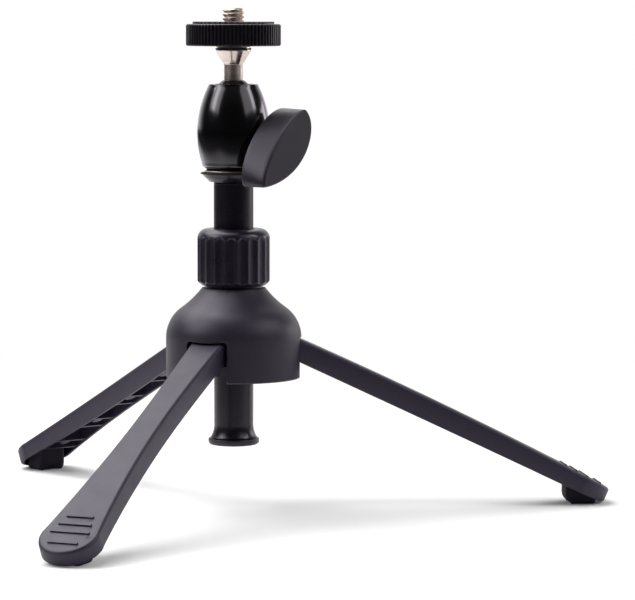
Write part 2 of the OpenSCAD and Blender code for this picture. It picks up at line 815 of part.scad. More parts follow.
// The chamber narrows above the ball's middle, and the mouth flares
module ball_housing() {
    steps = 24;
    rim = 0.4;
    bow_z = housing_z + housing_round;
    bow_h = housing_h - housing_round - rim;
    low_r = housing_r(bow_z) - housing_round;
    color([0.03, 0.03, 0.035])
    difference() {
        rotate_extrude()
            polygon(concat(
                [[0, housing_z]],
                arc(low_r, bow_z, housing_round, -90, 0, 8),
                [for (i = [1 : steps]) let (z = bow_z + bow_h * i / steps) [housing_r(z), z]],
                [[housing_r(housing_top_z - rim) - rim, housing_top_z], [0, housing_top_z]]));
        rotate_extrude()
            polygon([[0, housing_z - OVER], [chamber_r, housing_z - OVER], [chamber_r, ball_z],
                     [mouth_r, ball_z + chamber_r - mouth_r], [mouth_r, housing_top_z - mouth_flare],
                     [mouth_r + mouth_flare + OVER, housing_top_z + OVER], [0, housing_top_z + OVER]]);
        translate([0, 0, ball_z])
            sphere(r = ball_r + ball_gap);
        knob_frame()
            cylinder(d = clamp_d + 2 * run_gap, h = housing_d);
    }
}

module housing_plug() {
    color([0.7, 0.6, 0.35])
    difference() {
        translate([0, 0, plug_z])
            cylinder(r = chamber_r - seat_gap, h = plug_top_z - plug_z);
        translate([0, 0, plug_z - OVER])
            cylinder(r = stud_r + seat_gap, h = head_stud_top_z - plug_z + OVER + plug_rim / 2);
    }
}

// The wedge rises as the clamp screw's cone drives under its slanted face
wedge_gap = 0.1;
cup_t = 1.2;
wedge_top_z = ball_z - ball_r - cup_t;
wedge_low_z = plug_top_z + clamp_lead + 2 * wedge_gap;
module clamp_wedge() {
    reach = clamp_d / 2 + clamp_lead;
    low = wedge_low_z - knob_z;
    color([0.72, 0.58, 0.28])
    intersection() {
        translate([0, 0, wedge_low_z])
            cylinder(r = chamber_r - run_gap, h = wedge_top_z - wedge_low_z);
        translate([0, 0, knob_z])
            rotate([0, 0, knob_az])
                rotate([90, 0, 0])
                    linear_extrude(height = chamber_d, center = true)
                        polygon([[-chamber_d, low], [low - 2 * wedge_gap, low],
                                 [reach, reach + 2 * wedge_gap],
                                 [chamber_d, reach + 2 * wedge_gap],
                                 [chamber_d, chamber_d], [-chamber_d, chamber_d]]);
    }
}

// Cone of 45 degrees on a short shank, with a blunt point
tip_len = 3;
module thrust_tip() {
    point_r = 0.1;
    shank_gap = 0.1;
    shank_r = clamp_d / 2 - shank_gap;
    cone_len = shank_r - point_r;
    color([0.75, 0.62, 0.3])
    knob_frame() {
        cylinder(r1 = point_r, r2 = shank_r, h = cone_len);
        translate([0, 0, cone_len])
            cylinder(r = shank_r, h = tip_len - cone_len);
    }
}

screw_in_knob = 4;
module clamp_screw() {
    color([0.65, 0.65, 0.67])
    knob_frame()
        translate([0, 0, tip_len])
            cylinder(d = clamp_d, h = knob_back + screw_in_knob - tip_len);
}

// Leaf outline: x runs along the leaf, one side is full and skewed, the other nearly flat
leaf_full = 0.92;
leaf_flat = 1.1;
function leaf(flat) = let (a = knob_len / 2, long = a + knob_skew, steps = 14) concat(
    [for (i = [0 : steps]) let (u = -a + long * i / steps, x = (knob_skew - u) / long)
        [u, knob_bulge * pow(1 - x * x, leaf_full)]],
    [for (i = [1 : steps]) let (t = 90 - 90 * i / steps)
        [knob_skew + (a - knob_skew) * cos(t), knob_bulge * sin(t)]],
    [for (i = [1 : steps - 1]) let (t = 180 * i / steps)
        [a * cos(t), -flat * pow(sin(t), leaf_flat)]]);

// The leaf's flat side slopes in from the back to the face
module clamp_knob() {
    boss_r = 4.2;
    boss_h = 1;
    trim = 0.6;
    slope = (knob_flat_back - knob_flat_face) / knob_t;
    color([0.13, 0.125, 0.145])
    knob_frame()
        difference() {
            union() {
                rotate([0, 0, 90])
                    rotate([0, 0, knob_tilt])
                        mirror([0, 1, 0])
                            translate([knob_shift, 0, knob_back])
                                intersection() {
                                    linear_extrude(height = knob_t)
                                        polygon(leaf(knob_flat_back + trim));
                                    rotate([90, 0, 90])
                                        linear_extrude(height = 2 * knob_len, center = true)
                                            polygon([[-knob_flat_back - slope * OVER, -OVER],
                                                     [-knob_flat_face + slope * OVER, knob_t + OVER],
                                                     [knob_len, knob_t + OVER], [knob_len, -OVER]]);
                                }
                translate([0, 0, knob_back - boss_h])
                    cylinder(r = boss_r, h = 2 * boss_h);
            }
            cylinder(r = clamp_d / 2 + seat_gap, h = knob_back + screw_in_knob + seat_gap);
        }
}

// Brass cup that grips the ball from below
module ball_seat() {
    low = wedge_top_z + run_gap;
    hole_r = 2;
    color([0.78, 0.64, 0.32])
    difference() {
        translate([0, 0, low])
            cylinder(r = chamber_r - run_gap, h = seat_h);
        translate([0, 0, ball_z])
            sphere(r = ball_r + run_gap);
        translate([0, 0, low - OVER])
            cylinder(r = hole_r, h = seat_h);
    }
}

// The ball is cut flat under the neck and bored for the stem's spigot
neck_land = 0.25;
neck_z = ball_z + sqrt(ball_r * ball_r - pow(neck_d / 2 + neck_land, 2));
spigot_r = 2;
spigot_len = 6;
module ball() {
    color([0.06, 0.055, 0.06])
    difference() {
        translate([0, 0, ball_z])
            sphere(r = ball_r);
        translate([0, 0, neck_z])
            cylinder(r = ball_r, h = ball_r);
        translate([0, 0, neck_z - spigot_len])
            cylinder(r = spigot_r + run_gap, h = spigot_len + OVER);
    }
}

// ---- Camera screw ----
cone_z = neck_z + neck_h;
washer_z = cone_z + cone_h;
disc_z = washer_z + washer_t;
pad_z = disc_z + disc_t;
pad_top_z = pad_z + pad_ring_t;
stud_top_z = pad_top_z + stud_h;

// The thread is a plain cylinder at its outside diameter, with a relief at the pad
relief_depth = 0.3;
relief_len = 0.8;
module ball_stem() {
    spigot_end_gap = 0.1;
    spigot_z = neck_z - spigot_len + spigot_end_gap;
    relief_z = pad_top_z - relief_len;
    cone_rim = 0.3;
    lead_in = 0.7;
    color([0.75, 0.73, 0.7])
    rotate_extrude()
        polygon([[0, spigot_z], [spigot_r, spigot_z], [spigot_r, neck_z],
                 [neck_d / 2, neck_z], [neck_d / 2, cone_z],
                 [cone_d / 2, washer_z - cone_rim], [cone_d / 2, washer_z],
                 [stud_r, washer_z], [stud_r, relief_z - relief_depth],
                 [stud_r - relief_depth, relief_z], [stud_r - relief_depth, pad_top_z - relief_depth],
                 [stud_r, pad_top_z], [stud_r, stud_top_z - lead_in],
                 [stud_r - lead_in, stud_top_z], [0, stud_top_z]]);
}

module stem_washer() {
    lip = 0.1;
    color([0.04, 0.04, 0.04])
    difference() {
        translate([0, 0, washer_z])
            cylinder(d = cone_d + 2 * lip, h = washer_t);
        translate([0, 0, washer_z - OVER])
            cylinder(r = stud_r + run_gap, h = washer_t + 2 * OVER);
    }
}

module lock_disc() {
    r = disc_d / 2;
    color([0.06, 0.06, 0.065])
    difference() {
        rotate_extrude()
            polygon(concat(
                [[0, disc_z]],
                arc(r - disc_round, disc_z + disc_round, disc_round, -90, 0, 6),
                arc(r - disc_round, pad_z - disc_round, disc_round, 0, 90, 6),
                [[0, pad_z]]));
        translate([0, 0, disc_z - OVER])
            cylinder(r = stud_r + run_gap, h = disc_t + 2 * OVER);
    }
}

module disc_pad() {
    color([0.1, 0.1, 0.105])
    difference() {
        translate([0, 0, pad_z])
            cylinder(d = pad_ring_d, h = pad_ring_t);
        translate([0, 0, pad_z - OVER])
            cylinder(d = pad_ring_bore, h = pad_ring_t + 2 * OVER);
    }
}

hub_shell();
hub_core();
hub_screws();
leg_pin(0);  // leg_pin_1
leg_pin(1);  // leg_pin_2
leg_pin(2);  // leg_pin_3
leg(0);  // leg_1
leg(1);  // leg_2
leg(2);  // leg_3
foot_pad(0);  // foot_pad_1
foot_pad(1);  // foot_pad_2
foot_pad(2);  // foot_pad_3
collet_sleeve();
wedge_ring();
lock_nut();
column_tube();
column_end_cap();
column_top_cap();
head_stud();
head_flange();
pan_washer();
ball_housing();
housing_plug();
clamp_wedge();
thrust_tip();
clamp_screw();
clamp_knob();
ball_seat();
ball();
ball_stem();
stem_washer();
lock_disc();
disc_pad();
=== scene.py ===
"""Looks of a table-top tripod with a ball head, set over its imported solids.

Sizes are in millimetres up to the moment that a mesh is made, and in metres from there on.
"""

import logging
import math
from collections.abc import Callable, Iterable, Sequence
from dataclasses import dataclass, field
from enum import Enum

import bmesh
import bpy
from mathutils import Matrix, Vector


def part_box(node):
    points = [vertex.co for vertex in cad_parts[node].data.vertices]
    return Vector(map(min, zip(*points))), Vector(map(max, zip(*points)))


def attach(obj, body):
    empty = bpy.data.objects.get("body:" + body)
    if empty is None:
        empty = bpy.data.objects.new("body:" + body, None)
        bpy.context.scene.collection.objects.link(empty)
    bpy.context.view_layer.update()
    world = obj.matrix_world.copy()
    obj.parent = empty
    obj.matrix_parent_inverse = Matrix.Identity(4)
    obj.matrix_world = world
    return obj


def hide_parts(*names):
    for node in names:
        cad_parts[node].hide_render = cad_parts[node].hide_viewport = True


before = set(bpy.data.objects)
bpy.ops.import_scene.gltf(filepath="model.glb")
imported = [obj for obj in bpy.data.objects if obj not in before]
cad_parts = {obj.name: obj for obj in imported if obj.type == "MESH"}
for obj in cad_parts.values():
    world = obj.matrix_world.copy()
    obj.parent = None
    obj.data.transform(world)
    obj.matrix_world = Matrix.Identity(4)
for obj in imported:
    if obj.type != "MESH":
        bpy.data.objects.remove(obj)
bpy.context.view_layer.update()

LOG = logging.getLogger("tripod")
MM = 0.001  # metres
LEG_TURN = 120.0  # degrees from one leg to the next
SHARP = 32.0  # degrees between two faces from which their edge shades sharp
TINY = 1e-6  # lengths up to this one count as nothing
WELD = 1e-5  # millimetres within which two points of a mesh are one
SLACK = 0.001  # millimetres by which a point may miss the line that it is on
WHITE = (1.0, 1.0, 1.0, 1.0)
SHEEN = (0.94, 0.86, 1.0, 1.0)  # faint violet of the reflections on dark parts
Point = tuple[float, float]
Corner = tuple[float, float, float]
Colour = tuple[float, float, float]


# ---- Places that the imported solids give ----

def low(node: str) -> Vector:
    """Lowest corner of a CAD node's box, in millimetres."""
    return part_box(node)[0] / MM


def high(node: str) -> Vector:
    """Highest corner of a CAD node's box, in millimetres."""
    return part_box(node)[1] / MM


def middle(node: str) -> Vector:
    """Middle of a CAD node's box, in millimetres."""
    return (low(node) + high(node)) / 2


# ---- Outlines ----

def arc(centre: Point, radius: float, start: float, end: float, steps: int) -> list[Point]:
    """Points along an arc.

    Args:
        centre: Centre of the arc.
        radius: Its radius.
        start: Angle of the first point, in degrees.
        end: Angle of the last point, in degrees.
        steps: Number of stretches between the points.

    Returns:
        The points, from start to end.
    """
    turns = [math.radians(start + (end - start) * i / steps) for i in range(steps + 1)]
    return [(centre[0] + radius * math.cos(a), centre[1] + radius * math.sin(a)) for a in turns]


def rounded(corners: Sequence[Corner], loop: bool = False, steps: int = 5) -> list[Point]:
    """A line through corners, with each corner rounded.

    Args:
        corners: (x, y, radius) of each corner.
        loop: Whether the line closes on itself, so that both of its ends are rounded too.
        steps: Number of stretches in each rounding.

    Returns:
        The points of the line.
    """
    points: list[Point] = []
    count = len(corners)
    for i, (x, y, radius) in enumerate(corners):
        if radius <= 0 or (not loop and i in (0, count - 1)):
            points.append((x, y))
            continue
        corner = Vector((x, y))
        back = Vector(corners[i - 1][:2]) - corner
        ahead = Vector(corners[(i + 1) % count][:2]) - corner
        half = back.angle(ahead) / 2
        reach = min(radius / math.tan(half), 0.49 * back.length, 0.49 * ahead.length)
        radius = reach * math.tan(half)
        back.normalize()
        ahead.normalize()
        centre = corner + (back + ahead).normalized() * (radius / math.sin(half))
        first, last = corner + back * reach - centre, corner + ahead * reach - centre
        start = math.atan2(first.y, first.x)
        sweep = (math.atan2(last.y, last.x) - start + math.pi) % math.tau - math.pi
        points += arc(tuple(centre), radius, math.degrees(start), math.degrees(start + sweep),
                      steps)
    return points


def quarter(steps: int) -> list[float]:
    """Angles over a quarter turn, in radians and with both ends."""
    return [math.radians(90 * i / steps) for i in range(steps + 1)]


def divided(points: Sequence[Point], longest: float) -> list[Point]:
    """The same line with its long stretches divided.

    Args:
        points: Points of an open line.
        longest: Length that no stretch of the result exceeds.

    Returns:
        The points of the line, with new ones between them.
    """
    result: list[Point] = [points[0]]
    for a, b in zip(points, points[1:]):
        pieces = max(1, math.ceil(math.dist(a, b) / longest))
        dx, dy = b[0] - a[0], b[1] - a[1]
        result += [(a[0] + dx * i / pieces, a[1] + dy * i / pieces) for i in range(1, pieces + 1)]
    return result


# ---- Meshes ----

class Shell:
    """Points and faces, in millimetres, of one or more closed skins."""

    def __init__(self) -> None:
        """Starts without points."""
        self.points: list[Vector] = []
        self.faces: list[list[int]] = []

    def ring(self, points: Iterable[Sequence[float]]) -> list[int]:
        """Adds a row of points.

        Args:
            points: Places of the new points.

        Returns:
            Their numbers.
        """
        first = len(self.points)
        self.points += [Vector(p) for p in points]
        return list(range(first, len(self.points)))

    def strip(self, a: Sequence[int], b: Sequence[int], closed: bool = True) -> None:
        """Joins two rows of points with faces.

        Args:
            a: One row.
            b: The other row, as long as the first, or a single point.
            closed: Whether the rows are rings.
        """
        if len(a) == 1:
            a, b = b, a
        count = len(a) if closed else len(a) - 1
        for i in range(count):
            j = (i + 1) % len(a)
            self.faces.append([a[i], a[j], b[0]] if len(b) == 1 else [a[i], a[j], b[j], b[i]])

    def skin(self, rows: Sequence[Sequence[int]], closed: bool = True) -> None:
        """Joins each row of points to the next one.

        Args:
            rows: The rows, in order.
            closed: Whether they are rings.
        """
        for a, b in zip(rows, rows[1:]):
            self.strip(a, b, closed)

    def lathe(self, profile: Sequence[Point], segments: int = 128,
              place: Matrix | None = None) -> None:
        """Turns a profile round an axis.

        Args:
            profile: (radius, height) of its points, from axis to axis or else round a loop.
            segments: Number of points round the axis.
            place: Where the axis stands; by default it is Z.
        """
        place = place or Matrix()
        turns = [math.tau * i / segments for i in range(segments)]
        rings = [self.ring([place @ Vector((0, 0, z))] if r < TINY else
                           [place @ Vector((r * math.cos(a), r * math.sin(a), z)) for a in turns])
                 for r, z in profile]
        self.skin(rings)
        if profile[0][0] > TINY:
            self.strip(rings[-1], rings[0])

    def prism(self, outline: Sequence[Point], bottom: float, top: float) -> None:
        """Stands an outline up between two heights.

        Args:
            outline: Its points, once round.
            bottom: The lower height.
            top: The upper height.
        """
        rings = [self.ring((x, y, z) for x, y in outline) for z in (bottom, top)]
        self.strip(*rings)
        self.faces += rings

    def build(self, name: str, place: Matrix | None = None) -> bpy.types.Object:
        """Makes the object, with open ends filled and every face outwards.

        Args:
            name: Name of the piece.
            place: Where its millimetres lie in the frame.

        Returns:
            The object, which sits at the origin.
        """
        bm = bmesh.new()
        corners = [bm.verts.new(p) for p in self.points]
        for face in self.faces:
            bm.faces.new([corners[i] for i in face])
        bmesh.ops.remove_doubles(bm, verts=bm.verts, dist=WELD)
        open_edges = [e for e in bm.edges if len(e.link_faces) == 1]
        if open_edges:
            bmesh.ops.holes_fill(bm, edges=open_edges, sides=0)
        bmesh.ops.recalc_face_normals(bm, faces=bm.faces)
        bm.transform(Matrix.Scale(MM, 4) @ (place or Matrix()))
        mesh = bpy.data.meshes.new(name)
        bm.to_mesh(mesh)
        bm.free()
        return linked(name, mesh)


def linked(name: str, mesh: bpy.types.Mesh) -> bpy.types.Object:
    """Links a mesh as an object at the origin, smooth but for edges of SHARP degrees or more.

    Args:
        name: Name of the object.
        mesh: Its mesh, in metres.

    Returns:
        The object.
    """
    mesh.shade_smooth()
    mesh.set_sharp_from_angle(angle=math.radians(SHARP))
    piece = bpy.data.objects.new(name, mesh)
    bpy.context.scene.collection.objects.link(piece)
    return piece


def turned(name: str, corners: Sequence[Corner], segments: int = 128, loop: bool = False,
           place: Matrix | None = None) -> bpy.types.Object:
    """Makes an object by turning a line with rounded corners round an axis.

    Args:
        name: Its name.
        corners: (radius, height, rounding) of each corner.
        segments: Number of points round the axis.
        loop: Whether the line is a loop clear of the axis.
        place: Where the axis stands; by default it is Z.

    Returns:
        The object.
    """
    shell = Shell()
    shell.lathe(rounded(corners, loop), segments, place)
    return shell.build(name)


def settled(piece: bpy.types.Object) -> bpy.types.Object:
    """Puts an object with a plain mesh in the place of one with modifiers.

    Args:
        piece: The object with modifiers; it is removed.

    Returns:
        The new object, of the same name.
    """
    bpy.context.view_layer.update()
    shown = piece.evaluated_get(bpy.context.evaluated_depsgraph_get())
    mesh = bpy.data.meshes.new_from_object(shown)
    name = piece.name
    bpy.data.objects.remove(piece)
    return linked(name, mesh)


def cut_out(piece: bpy.types.Object, tool: bpy.types.Object) -> bpy.types.Object:
    """Cuts a tool's shape out of a piece.

    Args:
        piece: The object to cut; it is replaced.
        tool: The shape to cut out; it is removed.

    Returns:
        The new object.
    """
    cut = piece.modifiers.new("cut", "BOOLEAN")
    cut.object, cut.operation, cut.solver = tool, "DIFFERENCE", "EXACT"
    piece = settled(piece)
    bpy.data.objects.remove(tool)
    return piece


def joined(name: str, pieces: Sequence[bpy.types.Object], place: Matrix) -> bpy.types.Object:
    """Copies the meshes of several objects into one.

    Args:
        name: Name of the new object.
        pieces: The objects; they stay.
        place: Where the new mesh lies, seen from where the old ones are.

    Returns:
        The new object.
    """
    bm = bmesh.new()
    for piece in pieces:
        bm.from_mesh(piece.data)
    bm.transform(place)
    mesh = bpy.data.meshes.new(name)
    bm.to_mesh(mesh)
    bm.free()
    return linked(name, mesh)


# ---- Node trees ----

class Wire:
    """An output socket that arithmetic extends with Math nodes."""

    def __init__(self, board: "Board", socket: bpy.types.NodeSocket) -> None:
        """Keeps the board that the socket is on."""
        self.board, self.socket = board, socket

    def __add__(self, other: "Wire | float") -> "Wire":
        """self + other."""
        return self.board.math("ADD", self, other)

    def __sub__(self, other: "Wire | float") -> "Wire":
        """self - other."""
        return self.board.math("SUBTRACT", self, other)

    def __rsub__(self, other: float) -> "Wire":
        """other - self."""
        return self.board.math("SUBTRACT", other, self)

    def __mul__(self, other: "Wire | float") -> "Wire":
        """self * other."""
        return self.board.math("MULTIPLY", self, other)

    def __truediv__(self, other: "Wire | float") -> "Wire":
        """self / other."""
        return self.board.math("DIVIDE", self, other)

    def __pow__(self, other: "Wire | float") -> "Wire":
        """self to the power of other."""
        return self.board.math("POWER", self, other)

    def __abs__(self) -> "Wire":
        """Size of self."""
        return self.board.math("ABSOLUTE", self)

    __radd__ = __add__
    __rmul__ = __mul__

    def fade(self, start: "Wire | float", end: "Wire | float") -> "Wire":
        """Rises smoothly from 0 where self is start to 1 where it is end."""
        return self.board.wire("ShaderNodeMapRange", {"interpolation_type": "SMOOTHSTEP"},
                               {"Value": self, "From Min": start, "From Max": end})

    def swing(self, by: float) -> "Wire":
        """Takes self, which is between 0 and 1, to half of by on either side of 0."""
        return (self - 0.5) * by


class Board:
    """A node tree of a material, the world or a mesh, on which nodes are laid out."""

    def __init__(self, tree: bpy.types.NodeTree) -> None:
        """Clears the tree."""
        self.tree = tree
        tree.nodes.clear()

    def node(self, kind: str, settings: dict | None = None,
             inputs: dict | None = None) -> bpy.types.Node:
        """Adds a node.

        Args:
            kind: The node's type.
            settings: Its own settings, set first.
            inputs: A value or a wire for each of its sockets, by name or number.

        Returns:
            The node.
        """
        made = self.tree.nodes.new(kind)
        for key, value in (settings or {}).items():
            setattr(made, key, value)
        for key, value in (inputs or {}).items():
            if isinstance(value, Wire):
                self.tree.links.new(value.socket, made.inputs[key])
            else:
                made.inputs[key].default_value = value
        return made

    def wire(self, kind: str, settings: dict | None = None, inputs: dict | None = None,
             output: int | str = 0) -> Wire:
        """Adds a node of which one output is wanted.

        Args:
            kind: The node's type.
            settings: Its own settings.
            inputs: A value or a wire for each socket.
            output: Name or number of the output.

        Returns:
            The output.
        """
        return Wire(self, self.node(kind, settings, inputs).outputs[output])

    def math(self, operation: str, *values: Wire | float) -> Wire:
        """Adds a Math node."""
        return self.wire("ShaderNodeMath", {"operation": operation}, dict(enumerate(values)))

    def parts(self, vector: Wire) -> list[Wire]:
        """The three numbers of a vector."""
        node = self.node("ShaderNodeSeparateXYZ", None, {0: vector})
        return [Wire(self, socket) for socket in node.outputs]

    def vector(self, *values: Wire | float) -> Wire:
        """A vector from three numbers."""
        return self.wire("ShaderNodeCombineXYZ", None, dict(enumerate(values)))

    def noise(self, place: Wire, size: float, detail: float = 2.0) -> Wire:
        """Soft noise around 0.5, whose blots are about size millimetres wide.

        Args:
            place: Where on the piece.
            size: Width of a blot, in millimetres.
            detail: How many finer layers it has.

        Returns:
            The noise.
        """
        return self.wire("ShaderNodeTexNoise", None,
                         {"Vector": place, "Scale": 1 / (size * MM), "Detail": detail})

    def blend(self, factor: Wire | float, a: Wire | Colour, b: Wire | Colour) -> Wire:
        """Mixes two colours.

        Args:
            factor: Share of the second colour.
            a: The first colour.
            b: The second colour.

        Returns:
            The mixed colour.
        """
        first, second = (c if isinstance(c, Wire) else (*c, 1) for c in (a, b))
        return self.wire("ShaderNodeMix", {"data_type": "RGBA"},
                         {0: factor, 6: first, 7: second}, 2)

    def length(self, x: Wire, y: Wire) -> Wire:
        """Length of a level vector."""
        return (x * x + y * y) ** 0.5

    def bump(self, height: Wire, depth: float) -> Wire:
        """Normal of a relief that is depth millimetres deep."""
        return self.wire("ShaderNodeBump", None, {"Height": height, "Distance": depth * MM})


# ---- Finishes ----

def tone(colour: Colour, by: float) -> Colour:
    """A colour, made lighter or darker by a factor."""
    return tuple(c * by for c in colour)


@dataclass(frozen=True)
class Finish:
    """A procedural material. Each kind of finish paints it in its own way."""

    name: str
    colour: Colour
    roughness: float

    def paint(self, board: Board, place: Wire) -> dict:
        """Sockets of the shader, from object coordinates.

        Args:
            board: The material's tree.
            place: Object coordinates.

        Returns:
            A value or a wire for each of the shader's sockets that it sets.
        """
        raise NotImplementedError

    def shade(self, board: Board, factor: Wire, tones: Point) -> Wire:
        """The colour, from the first tone where the factor is 0 to the second where it is 1.

        Args:
            board: The material's tree.
            factor: Where between the tones.
            tones: Factors on the colour.

        Returns:
            The colour.
        """
        return board.blend(factor, *(tone(self.colour, by) for by in tones))

    def material(self) -> bpy.types.Material:
        """The material, made once.

        Returns:
            The material, named after the finish.
        """
        title = self.name + "_finish"
        made = bpy.data.materials.get(title)
        if made is None:
            made = bpy.data.materials.new(title)
            made.use_nodes = True
            board = Board(made.node_tree)
            place = board.wire("ShaderNodeTexCoord", output="Object")
            shader = board.wire("ShaderNodeBsdfPrincipled", None, self.paint(board, place))
            board.node("ShaderNodeOutputMaterial", None, {"Surface": shader})
        return made


@dataclass(frozen=True)
class Moulded(Finish):
    """Moulded plastic with a fine spark-eroded grain."""

    grain: float = 0.32
    grain_gloss: float = 0.12
    depth: float = 0.02
    cloud: float = 0.12
    cloud_size: float = 6.0
    cloud_gloss: float = 0.16
    fleck: float = 0.25
    fleck_size: float = 2.3
    fleck_tone: float = 1.5

    def paint(self, board: Board, place: Wire) -> dict:
        """Grain, with faint clouds in tone and gloss and a few paler flecks.

        Args:
            board: The material's tree.
            place: Object coordinates.

        Returns:
            A value or a wire for each of the shader's sockets that it sets.
        """
        grain = board.noise(place, self.grain, 1.5)
        clouds = board.noise(place, self.cloud_size, 3.0)
        flecks = board.noise(place, self.grain * self.fleck_size, 1.0).fade(0.35, 0.7)
        body = self.shade(board, clouds, (1 - self.cloud, 1 + self.cloud))
        pale = tone(self.colour, self.fleck_tone)
        return {
            "Base Color": board.blend(flecks * self.fleck, body, pale),
            "Roughness": (self.roughness + clouds.swing(self.cloud_gloss)
                          + grain.swing(self.grain_gloss)),
            "Normal": board.bump(grain, self.depth),
            "Specular Tint": SHEEN,
        }


@dataclass(frozen=True)
class Lacquer(Finish):
    """Smooth dark enamel under a clear coat, with a faint orange peel."""

    specular: float = 0.2
    coat_roughness: float = 0.16
    tones: Point = (0.85, 1.15)
    haze_size: float = 4.0
    haze_gloss: float = 0.08
    peel_size: float = 1.1
    peel: float = 0.0015

    def paint(self, board: Board, place: Wire) -> dict:
        """Even colour; a little haze and peel.

        Args:
            board: The material's tree.
            place: Object coordinates.

        Returns:
            A value or a wire for each of the shader's sockets that it sets.
        """
        haze = board.noise(place, self.haze_size, 3.0)
        peel = board.noise(place, self.peel_size, 1.0)
        return {
            "Base Color": self.shade(board, haze, self.tones),
            "Roughness": self.roughness + haze.swing(self.haze_gloss),
            "Normal": board.bump(peel, self.peel),
            "Specular IOR Level": self.specular,
            "Specular Tint": SHEEN,
            "Coat Weight": 1.0,
            "Coat Roughness": self.coat_roughness,
            "Coat Tint": SHEEN,
        }


@dataclass(frozen=True)
class Turned(Finish):
    """Metal turned on a lathe, with fine rings round the Z axis."""

    metallic: float = 1.0
    ring: float = 0.09
    ring_gloss: float = 0.2
    band: float = 9.0
    band_share: float = 0.6
    depth: float = 0.003
    streak: float = 0.25
    smear_size: float = 2.5
    smear_gloss: float = 0.08
    polished: Point = (-1000.0, 1000.0)
    dulling: float = 0.25
    blur: float = 0.05

    def paint(self, board: Board, place: Wire) -> dict:
        """Rings that vary tone, gloss and relief, and less gloss outside the polished heights.

        Args:
            board: The material's tree.
            place: Object coordinates.

        Returns:
            A value or a wire for each of the shader's sockets that it sets.
        """
        x, y, z = board.parts(place)
        radius = board.length(x, y)
        across = board.vector(radius, 0.0, z)
        rings = board.noise(across, self.ring, 2.0)
        bands = board.noise(across, self.ring * self.band, 1.0)
        smear = board.noise(place, self.smear_size, 2.0)
        streaks = (bands * self.band_share + smear * (1 - self.band_share)).fade(0.25, 0.75)
        start, end, blur = (height * MM for height in (*self.polished, self.blur))
        dull = z.fade(start, start - blur) + z.fade(end, end + blur)
        worn = rings.swing(self.ring_gloss) + smear.swing(self.smear_gloss)
        return {
            "Base Color": self.shade(board, streaks, (1 - self.streak, 1.0)),
            "Roughness": self.roughness + worn + dull * self.dulling,
            "Normal": board.bump(rings, self.depth),
            "Metallic": self.metallic,
        }


@dataclass(frozen=True)
class Anodised(Finish):
    """Satin anodised aluminium, brushed round its axis."""

    tones: Point = (0.85, 1.2)
    brush: float = 0.12
    brush_gloss: float = 0.08
    stretch: float = 0.06
    cloud_size: float = 9.0
    cloud_gloss: float = 0.05
    depth: float = 0.0003

    def paint(self, board: Board, place: Wire) -> dict:
        """Fine brushing round the axis and a faint cloud.

        Args:
            board: The material's tree.
            place: Object coordinates.

        Returns:
            A value or a wire for each of the shader's sockets that it sets.
        """
        x, y, z = board.parts(place)
        along = board.vector(x * self.stretch, y * self.stretch, z)
        brushing = board.noise(along, self.brush, 3.0)
        cloud = board.noise(place, self.cloud_size, 2.0)
        return {
            "Base Color": self.shade(board, cloud, self.tones),
            "Roughness": (self.roughness + brushing.swing(self.brush_gloss)
                          + cloud.swing(self.cloud_gloss)),
            "Normal": board.bump(brushing, self.depth),
            "Specular Tint": SHEEN,
        }


@dataclass(frozen=True)
class Rubber(Finish):
    """Matte rubber with a fine pitted skin."""

    specular: float = 0.35
    tones: Point = (0.8, 1.35)
    pit: float = 0.35
    bloom_size: float = 2.2
    bloom_gloss: float = 0.14
    depth: float = 0.02

    def paint(self, board: Board, place: Wire) -> dict:
        """Pits, and a dusty bloom over them.

        Args:
            board: The material's tree.
            place: Object coordinates.

        Returns:
            A value or a wire for each of the shader's sockets that it sets.
        """
        pits = board.wire("ShaderNodeTexVoronoi", None,
                          {"Vector": place, "Scale": 1 / (self.pit * MM)})
        bloom = board.noise(place, self.bloom_size, 4.0)
        return {
            "Base Color": self.shade(board, bloom, self.tones),
            "Roughness": self.roughness + bloom.swing(self.bloom_gloss),
            "Normal": board.bump(pits, self.depth),
            "Specular IOR Level": self.specular,
            "Specular Tint": SHEEN,
        }


@dataclass(frozen=True)
class Fibre(Finish):
    """Pressed fibre, as in friction washers."""

    specular: float = 0.3
    tones: Point = (0.6, 1.6)
    fibre: float = 0.25
    fibre_gloss: float = 0.1
    stretch: Corner = (1.0, 0.25, 2.0)
    depth: float = 0.012

    def paint(self, board: Board, place: Wire) -> dict:
        """Short fibres that lie flat.

        Args:
            board: The material's tree.
            place: Object coordinates.

        Returns:
            A value or a wire for each of the shader's sockets that it sets.
        """
        lain = board.vector(*(v * by for v, by in zip(board.parts(place), self.stretch)))
        fibres = board.noise(lain, self.fibre, 4.0)
        return {
            "Base Color": self.shade(board, fibres, self.tones),
            "Roughness": self.roughness + fibres.swing(self.fibre_gloss),
            "Normal": board.bump(fibres, self.depth),
            "Specular IOR Level": self.specular,
        }


